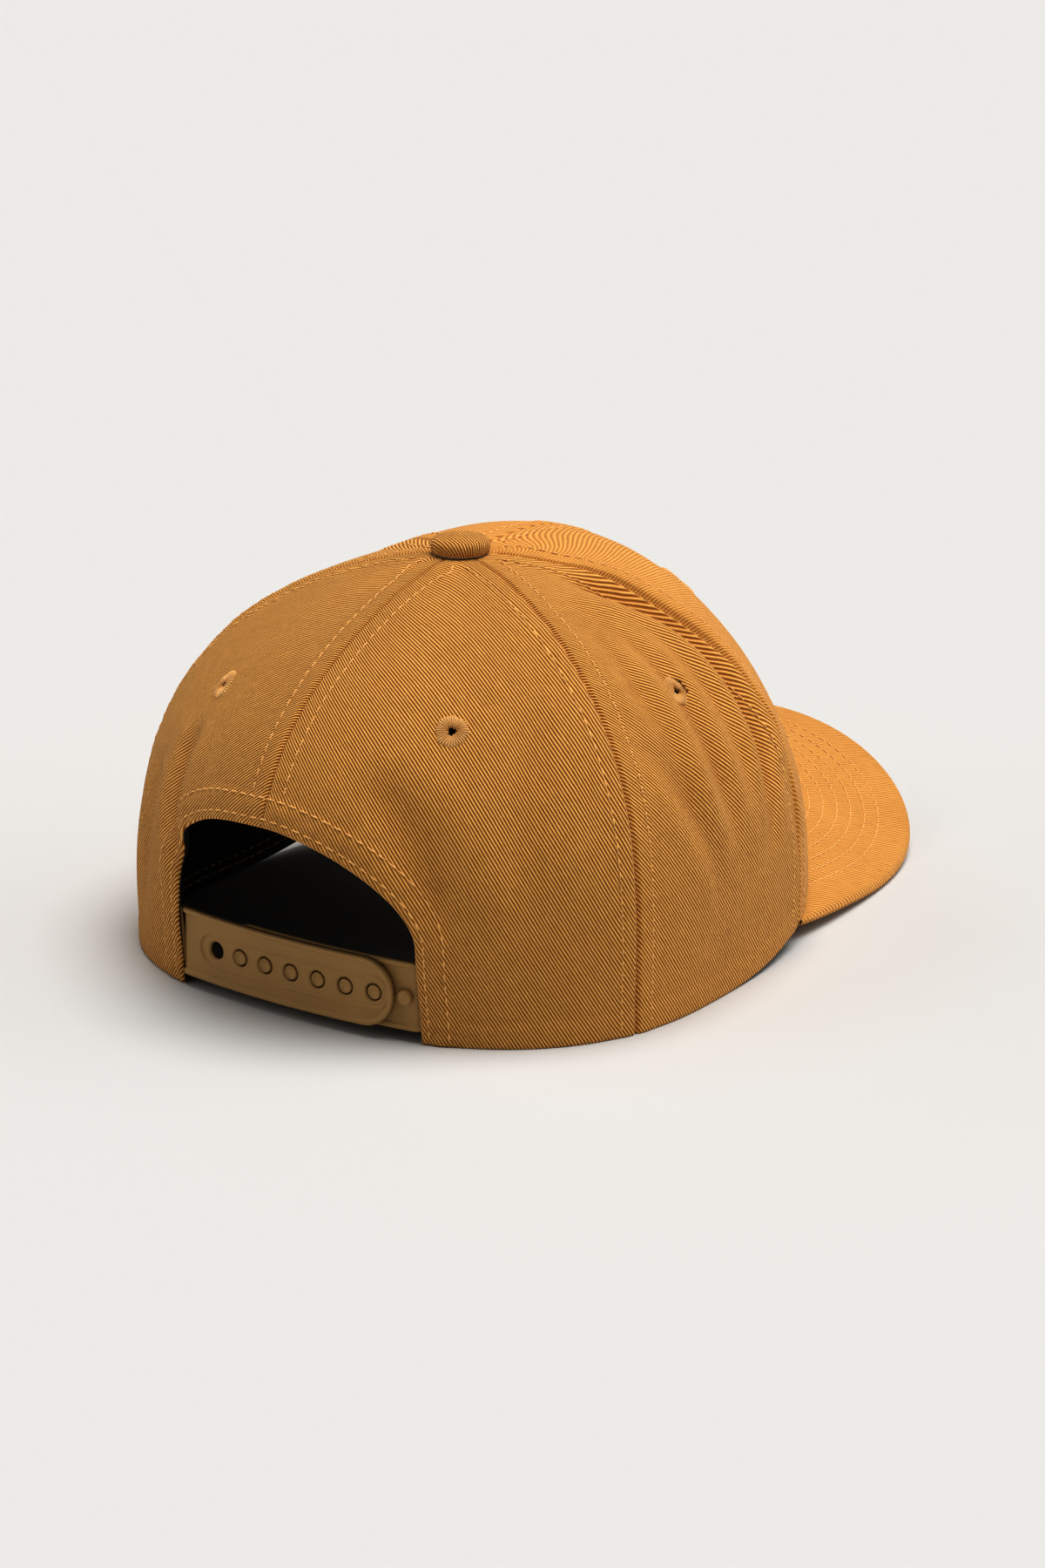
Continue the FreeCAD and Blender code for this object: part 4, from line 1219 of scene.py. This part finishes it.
def visor_stitching(visor, sizes, trim):
    """Rows at even distances from the rim, above and below."""
    thread = mm(trim.thread) * 0.9, mm(trim.stitch), mm(trim.stitch_pitch)
    line = np.linspace(-0.995, 0.995, 700)
    runs = []
    for row in range(sizes.rows):
        offset = mm(sizes.first_row) + row * mm(sizes.row_pitch)
        share = 1 - offset / visor.span(line)
        keep = share > 0.03
        if keep.sum() < 20:
            continue
        spots = visor.point(line[keep], share[keep])
        for sign, level in ((1, -SUNK_THREAD), (-1, SUNK_THREAD - mm(sizes.thickness))):
            normals = np.repeat([[0.0, 0, sign]], len(spots), 0)
            runs.append(stitches(spots + [0, 0, level], normals, *thread))
    return join([r for r in runs if r])


class CAP_OT_visor(bpy.types.Operator):
    """Build the visor's two cloths with their turned-in rim, and its stitch rows"""
    bl_idname = "cap.visor"
    bl_label = "Visor"

    def execute(self, context):
        sizes = settings("visor")
        visor = Visor(crown(), sizes)
        build_visor_cloths(visor, sizes)
        piece = put_mesh("stitching_visor", *visor_stitching(visor, sizes, settings("trim")))
        finished(piece, material(thread_finish, "thread"))
        return {"FINISHED"}


TAPE_HALF, TAPE_THICKNESS = 8, 0.45
NARROWEST_TAPE = math.radians(24)  # limit of a tape's half angle where the seams meet
FRONT_TAPE_DEPTH, TAPE_DEPTH = 1.65, 1.0  # the front seams have buckram between cloth and tape


def build_tapes(cap):
    """Tapes over the seams, narrowed where the seams meet, round the opening and inside the hem."""
    tape = material(shaded_lining_finish, "tape cloth", 0.9, 0.8)
    over = float(cap.level(np.array([math.pi]), mm(cap.sizes.arch_top) + 11)[0])
    seams = {"front": (0.0, 12.0, FRONT_TAPE_DEPTH), "back": (math.pi, over, TAPE_DEPTH)}
    for name, side in SIDES:
        seams["front_" + name] = (side * cap.seams[1], 12.0, FRONT_TAPE_DEPTH)
        seams["back_" + name] = (side * cap.seams[2], 12.0, TAPE_DEPTH)
    for name, (seam, low, depth) in seams.items():
        reach = cap.reach(seam)
        distance = np.linspace(low, reach - 9.5, 120)
        radius = cap.radius(cap.point(seam, distance))
        half = np.minimum(TAPE_HALF / radius, NARROWEST_TAPE)
        angle = seam + half[None] * np.linspace(-1, 1, 15)[:, None]
        share = (distance / reach)[None]
        crown_sheet(f"seam_tape_{name}", angle, share * cap.reach(angle), depth,
                    depth + TAPE_THICKNESS, tape, [f"seam_tape_{name}"])
    rows = [arch_spots(cap, offset) for offset in np.linspace(1.2, 9.2, 12)]
    rows = [tuple(resample(np.stack(row, -1), 220).T) for row in rows]
    angle, distance = np.stack([a for a, _ in rows]), np.stack([d for _, d in rows])
    keep = slice(40, 180)  # the part of the rows that stands clear of the base hem
    crown_sheet("arch_tape", angle[:, keep], distance[:, keep], 1.95, 2.35, tape, ["arch_tape"])
    angle, distance = np.meshgrid(np.radians(np.linspace(-140, 140, 321)), np.linspace(0.3, 9, 10),
                                  indexing="ij")
    crown_sheet("hem_tape", angle, distance, 1.2, 2.3, tape, ["hem_tape"])


def build_stiffeners(cap):
    """Buckram behind the two front panels, with holes for the eyelets."""
    buckram = material(shaded_lining_finish, "buckram", 0.9, 1.6)
    for name, side in SIDES:
        angle = side * np.linspace(0, cap.seams[1], 91)[:, None]
        angle = np.repeat(angle, 131, 1)
        distance = 10 + (cap.reach(angle) - 19.5) * np.linspace(0, 1, 131)
        plain = cap.point(angle, distance)
        hub = cap.point(side * cap.seams[1] / 2, PANELS["front"][2])
        cells = np.linalg.norm((plain[:-1, :-1] + plain[1:, 1:]) / 2 - hub, axis=-1) > 3.6
        crown_sheet(f"stiffener_{name}", angle, distance, 0.95, 1.55, buckram,
                    [f"stiffener_{name}"], cells)


# Sweatband, in mm: depths of its two faces at the hems and how far each swells over the padding.
BAND_OUTER, BAND_INNER, OUTER_SWELL, INNER_SWELL, BAND_WAVE = 2.96, 3.0, 0.72, 1.15, 0.12
BAND_STITCH_ROWS = (4.0, 6.5)


class CAP_OT_inside(bpy.types.Operator):
    """Build the sweatband and give the hidden layers their finishes"""
    bl_idname = "cap.inside"
    bl_label = "Inside"

    def execute(self, context):
        cap = crown()
        sizes = cap.sizes
        across = np.linspace(-sizes.band_end, sizes.band_end, 421)
        up = np.concatenate([[0.3, 0.5, 0.8, 1.2], np.linspace(1.8, mm(sizes.band_width) - 1.5, 30),
                             mm(sizes.band_width) - np.array([1.0, 0.6, 0.3, 0.12])])
        angle, distance = np.meshgrid(across, up, indexing="ij")
        run = (distance - 0.3) / (mm(sizes.band_width) - 0.42)
        pad = np.clip(1 - (2 * run - 1) ** 8, 0, 1) ** 0.5
        wave = ripple(cap.point(angle, distance), (38, 21), 12)
        inner = cap.point(angle, distance, -BAND_INNER - INNER_SWELL * pad - BAND_WAVE * wave * pad)
        outer = cap.point(angle, distance, -BAND_OUTER + OUTER_SWELL * pad)
        points, faces = shell(outer, inner)
        u = angle * cap.radius(cap.point(angle, distance))
        uv = np.stack([u, distance], -1).reshape(-1, 2)
        band = put_mesh("sweatband", points, faces, np.concatenate([uv, uv]))
        finished(band, material(shaded_lining_finish, "sweatband cloth", 0.85, 1.1),
                 replaces=["sweatband_facing", "sweatband_foam"])
        runs = []
        for offset in BAND_STITCH_ROWS:
            line = np.linspace(-sizes.band_end * 0.995, sizes.band_end * 0.995, 1500)
            level = np.full_like(line, offset)
            runs.append(stitches(cap.point(line, level, -4.2), -cap.normal(line, level), 0.2, 2.8, 3.6))
        piece = put_mesh("stitching_sweatband", *join(runs))
        finished(piece, material(thread_finish, "thread"))
        build_tapes(cap)
        build_stiffeners(cap)
        for node in ("button_shell", "button_prong", "button_washer"):
            paint(node, material(board_finish, "steel", (0.42, 0.41, 0.39), 900.0, 0.35, 1.0))
        paint("visor_board", material(board_finish, "visor board", (0.3, 0.28, 0.24), 700.0))
        for node in ("hole_strap_tab", "peg_strap_tab"):
            paint(node, material(plastic_finish, "strap plastic"))
        return {"FINISHED"}


def paint(node, finish):
    """Gives a hidden CAD piece its material."""
    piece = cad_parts[node]
    piece.data.materials.clear()
    piece.data.materials.append(finish)


def strap_outline_gap(x, z, tip, half, corner):
    """Distance inside the outline of a strap with a rounded tip, negative outside; x grows towards
    the tip, and the root is left open."""
    over_x, over_z = np.maximum(x - (tip - corner), 0), np.maximum(abs(z) - (half - corner), 0)
    rounded = corner - np.hypot(over_x, over_z)
    inside = np.minimum(tip - x, half - abs(z))
    return np.where((over_x > 0) & (over_z > 0), rounded, inside)


def strap_plate(outline, holes, hole_radius, step=0.3):
    """Grid over a strap and the cells it keeps; edge points are moved onto the outline and onto
    the round holes, so that both stay smooth."""
    root, tip, half, corner = outline
    columns = int((tip - root) / step) + 1
    rows = int(2 * half / step) + 1
    x, z = np.meshgrid(np.linspace(root, tip, columns), np.linspace(-half, half, rows), indexing="ij")
    mid_x = (x[:-1, :-1] + x[1:, 1:]) / 2
    mid_z = (z[:-1, :-1] + z[1:, 1:]) / 2
    cells = strap_outline_gap(mid_x, mid_z, tip, half, corner) > 0
    for hole in holes:
        cells &= np.hypot(mid_x - hole, mid_z) > hole_radius
    ringed = np.pad(cells, 1)
    touching = ringed[:-1, :-1] * 1 + ringed[1:, :-1] + ringed[:-1, 1:] + ringed[1:, 1:]
    border = (touching > 0) & (touching < 4)
    for hole in holes:
        away = np.hypot(x - hole, z)
        move = border & (away < hole_radius + 2 * step)
        away = np.maximum(away, 1e-6)
        x = np.where(move, hole + (x - hole) * hole_radius / away, x)
        z = np.where(move, z * hole_radius / away, z)
    bend_x, bend_z = tip - corner, half - corner
    over_x, over_z = x - bend_x, abs(z) - bend_z
    away = np.maximum(np.hypot(over_x, over_z), 1e-6)
    move = border & (over_x > 0) & (over_z > 0) & (away > corner - 2 * step)
    x = np.where(move, bend_x + over_x * corner / away, x)
    z = np.where(move, np.sign(z) * (bend_z + over_z * corner / away), z)
    return x, z, cells


STRAP_TAIL, TAIL_SLOPE = 5.5, 0.62  # length past the hinge, mm, and how steeply it turns inward
RIM_INNER, SUNK_FACE, PEG_SUNK_FACE = 1.15, 0.75, 0.55
HOLE_ROUNDING, PEG_ROUNDING = 0.32, 0.3
PEG_ROOT, PEG_FACE = 0.7, 0.95  # depths of a peg's root and face under the faces round them, mm


def strap_shell(centre_y, side, radius, thick, grid, relief):
    """Bends a flat strap onto an upright cylinder; relief lowers its outer face, and past the
    hinge the strap turns inward by the distance times a slope."""
    sizes = settings("closure")
    x, z, cells = grid
    place_x, lean = side * x, mm(sizes.lean)
    past = np.maximum(-x - mm(sizes.hinge), 0)
    turned_in = TAIL_SLOPE * past * smooth(0, 3.0, past)
    y = centre_y + np.sqrt(radius ** 2 - (place_x + lean) ** 2) - turned_in
    slope_x = (place_x + lean) / radius
    slope_y = np.sqrt(1 - slope_x ** 2)
    outer, inner = (np.stack([place_x - slope_x * depth, y - slope_y * depth,
                              mm(sizes.height) + z], -1)
                    for depth in (relief, np.full_like(x, thick)))
    return shell(outer, inner, cells)


def snap_place(sizes, index):
    """X of a snap, numbered from the wearer's left."""
    return mm(sizes.pitch) * ((sizes.snaps - 1) / 2 - index)


def edge_drop(gap):
    """Quarter round at a strap's edge: 1 - sqrt(1 - (1 - 2 gap)^2), 1 on the outline and 0 inside."""
    return 1 - np.sqrt(np.clip(1 - (1 - np.clip(gap / 0.5, 0, 1)) ** 2, 0, 1))


def strap_outline(sizes, tip):
    """Root, tip, half width and corner radius of a strap that runs from its tail to its tip."""
    return -(mm(sizes.hinge) + STRAP_TAIL), tip, mm(sizes.width) / 2, mm(sizes.tip_corner)


def hole_strap_mesh(sizes, centre_y):
    """Strap with holes: a raised rim, a sunk face with a groove round the row of holes, and a lip
    with a fine ditch round each hole.  Its x runs from the wearer's left."""
    last_place = snap_place(sizes, sizes.snaps - 1)
    outline = strap_outline(sizes, -(last_place - mm(sizes.tip)))
    holes = [-snap_place(sizes, index) for index in range(sizes.snaps)]
    hole = mm(sizes.hole)
    grid = x, z, _ = strap_plate(outline, holes, hole)
    gap = strap_outline_gap(x, z, *outline[1:])
    rim = 1 - smooth(RIM_INNER, 1.40, gap)
    ray = np.hypot(x - np.clip(x, holes[0] - 1.5, holes[-1]), z)
    groove = 0.26 * (1 - smooth(3.85, 4.05, ray)) - 0.34 * bump(ray - 4.4, 0.26)
    lip = np.zeros_like(x)
    for place in holes:
        away = np.hypot(x - place, z)
        lip = lip + 0.30 * (1 - smooth(hole, hole + 0.4, away)) - 0.16 * bump(away - hole - 0.6, 0.2)
    relief = SUNK_FACE * (1 - rim) + HOLE_ROUNDING * edge_drop(gap) + (groove + lip) * (1 - rim)
    return strap_shell(centre_y, -1, mm(sizes.radius), mm(sizes.hole_strap), grid, relief)


def peg_strap_mesh(sizes, centre_y):
    """Strap with pegs, just inside the other: a plate with a raised rim, and a row of pegs with
    narrowed heads that starts at the second hole, so that the first hole stays open and the last
    peg stands past the other strap's tip.  Its x runs from the wearer's right."""
    radius, lean, level = mm(sizes.radius), mm(sizes.lean), mm(sizes.height)
    inner_radius = radius - mm(sizes.hole_strap) - mm(sizes.gap)
    outline = strap_outline(sizes, snap_place(sizes, 1) + mm(sizes.tip))
    grid = x, z, _ = strap_plate(outline, [], 1.0)
    gap = strap_outline_gap(x, z, *outline[1:])
    rim = 1 - smooth(RIM_INNER, 1.75, gap)
    relief = PEG_SUNK_FACE * (1 - rim) + PEG_ROUNDING * edge_drop(gap)
    parts = [strap_shell(centre_y, 1, inner_radius, mm(sizes.peg_strap), grid, relief)]
    turn_by = np.linspace(0, 2 * math.pi, 40, endpoint=False)
    for index in range(1, sizes.snaps + 1):
        centre_x = snap_place(sizes, index)
        root = centre_y + math.sqrt(inner_radius ** 2 - (centre_x + lean) ** 2) - PEG_ROOT
        face = centre_y + math.sqrt((radius - PEG_FACE) ** 2 - (centre_x + lean) ** 2)
        r = mm(sizes.peg) * np.array([1.0, 1.0, 1.0, 0.97, 0.9, 0.78, 0.74])
        y = np.array([root, root + 0.8, face - 0.35, face - 0.12, face, face, face - 0.12])
        rings = np.stack([centre_x + r[:, None] * np.cos(turn_by),
                          np.broadcast_to(y[:, None], (len(r), len(turn_by))),
                          level + r[:, None] * np.sin(turn_by)], -1)
        parts.append(turned(rings, (centre_x, y[0], level), (centre_x, y[-1], level)))
    return join(parts)


class CAP_OT_closure(bpy.types.Operator):
    """Mould the strap with holes and the strap with pegs"""
    bl_idname = "cap.closure"
    bl_label = "Snap closure"

    def execute(self, context):
        sizes = settings("closure")
        # The hole strap leaves the hem flush with the inside of the panel.
        centre_y = 1000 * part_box("hole_strap")[1].y - mm(sizes.radius)
        plastic = material(plastic_finish, "strap plastic")
        hole_strap = put_mesh("hole_strap_moulding", *hole_strap_mesh(sizes, centre_y))
        finished(hole_strap, plastic, body=None, replaces=["hole_strap"])
        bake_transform(hole_strap)
        peg_strap = put_mesh("peg_strap_moulding", *peg_strap_mesh(sizes, centre_y))
        finished(peg_strap, plastic, body=None, replaces=["peg_strap"])
        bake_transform(peg_strap)
        return {"FINISHED"}


TABLE_HALF, TABLE_LEVEL = 12000.0, -0.1  # mm
ROOM_COLOUR, ROOM_STRENGTH = (1.0, 0.99, 0.97), 0.19
CAMERA_LENS, CAMERA_DISTANCE = 94.04, 1.12395  # mm and metres
CAMERA_BACK, CAMERA_TARGET = (-0.5375, 0.784, 0.3104), (-0.012788, 0.026093, 0.042984)


class CAP_OT_stage(bpy.types.Operator):
    """Put the cap on a pale table under soft light, with a camera behind its right side"""
    bl_idname = "cap.stage"
    bl_label = "Table, light and camera"

    def execute(self, context):
        scene = context.scene
        corners = np.array([[x * TABLE_HALF, y * TABLE_HALF, TABLE_LEVEL]
                            for x, y in ((-1, -1), (1, -1), (1, 1), (-1, 1))])
        mesh = bpy.data.meshes.new("table")
        mesh.from_pydata((corners / 1000).tolist(), [], [(0, 1, 2, 3)])
        table = bpy.data.objects.new("table", mesh)
        mesh.materials.append(material(floor_finish, "pale table"))
        scene.collection.objects.link(table)
        world = bpy.data.worlds.new("dim room")
        world.use_nodes = True
        background = world.node_tree.nodes["Background"]
        background.inputs["Color"].default_value = (*ROOM_COLOUR, 1)
        background.inputs["Strength"].default_value = ROOM_STRENGTH
        scene.world = world
        up, away = Vector((0.0, 0.0, 1.0)), Vector((0.565, -0.825, 0.0))
        right = Vector((-0.825, -0.565, 0.0))
        lights = {"soft overhead": (3.35, 46, 0.19 * right + 0.02 * away + up),
                  "left strip": (0.68, 60, 0.45 * up - right),
                  "right strip": (0.72, 60, 0.45 * up + right)}
        for name, (energy, spread, source) in lights.items():
            light = bpy.data.lights.new(name, "SUN")
            light.energy, light.angle = energy, math.radians(spread)
            light.color = ROOM_COLOUR
            sun = bpy.data.objects.new(name, light)
            sun.rotation_euler = source.to_track_quat("Z", "Y").to_euler()
            sun.location = source
            scene.collection.objects.link(sun)
        glow = bpy.data.lights.new("light under the visor", "AREA")
        glow.shape = "RECTANGLE"
        glow.size, glow.size_y = 0.045, 0.01
        glow.energy = 0.03
        under = bpy.data.objects.new("light under the visor", glow)
        under.location = (0.006, -0.066, 0.019)
        under.visible_camera = False
        scene.collection.objects.link(under)
        camera_data = bpy.data.cameras.new("camera")
        camera_data.lens = CAMERA_LENS
        camera_data.sensor_width = 36
        camera_data.clip_end = 100
        camera = bpy.data.objects.new("camera", camera_data)
        back = Vector(CAMERA_BACK).normalized()
        camera.location = Vector(CAMERA_TARGET) + back * CAMERA_DISTANCE
        camera.rotation_euler = back.to_track_quat("Z", "Y").to_euler()
        scene.collection.objects.link(camera)
        scene.camera = camera
        scene.view_settings.view_transform = "Standard"
        scene.view_settings.gamma = 0.7
        return {"FINISHED"}


STEPS = (CAP_OT_panels, CAP_OT_stitching, CAP_OT_eyelets, CAP_OT_button, CAP_OT_visor,
         CAP_OT_inside, CAP_OT_closure, CAP_OT_stage)


class CAP_PT_sidebar(bpy.types.Panel):
    """Lists the cap's pieces and sizes"""
    bl_idname = "CAP_PT_sidebar"
    bl_label = "Baseball cap"
    bl_space_type = "VIEW_3D"
    bl_region_type = "UI"
    bl_category = "Cap"

    def draw(self, context):
        for step in STEPS:
            self.layout.operator(step.bl_idname)
        for name in SETTINGS:
            group = getattr(context.scene, name)
            box = self.layout.box()
            for size in group.__annotations__:
                box.prop(group, size)


CLASSES = (*SETTINGS.values(), *STEPS, CAP_PT_sidebar)


def register():
    """Adds the classes and the scene's settings."""
    for item in CLASSES:
        bpy.utils.register_class(item)
    for name, group in SETTINGS.items():
        setattr(bpy.types.Scene, name, PointerProperty(type=group))


def unregister():
    """Removes the settings and the classes, last first."""
    for name in SETTINGS:
        delattr(bpy.types.Scene, name)
    for item in reversed(CLASSES):
        bpy.utils.unregister_class(item)


def main():
    """Builds every piece."""
    register()
    for step in STEPS:
        module, name = step.bl_idname.split(".")
        getattr(getattr(bpy.ops, module), name)()


if __name__ == "__main__":
    main()
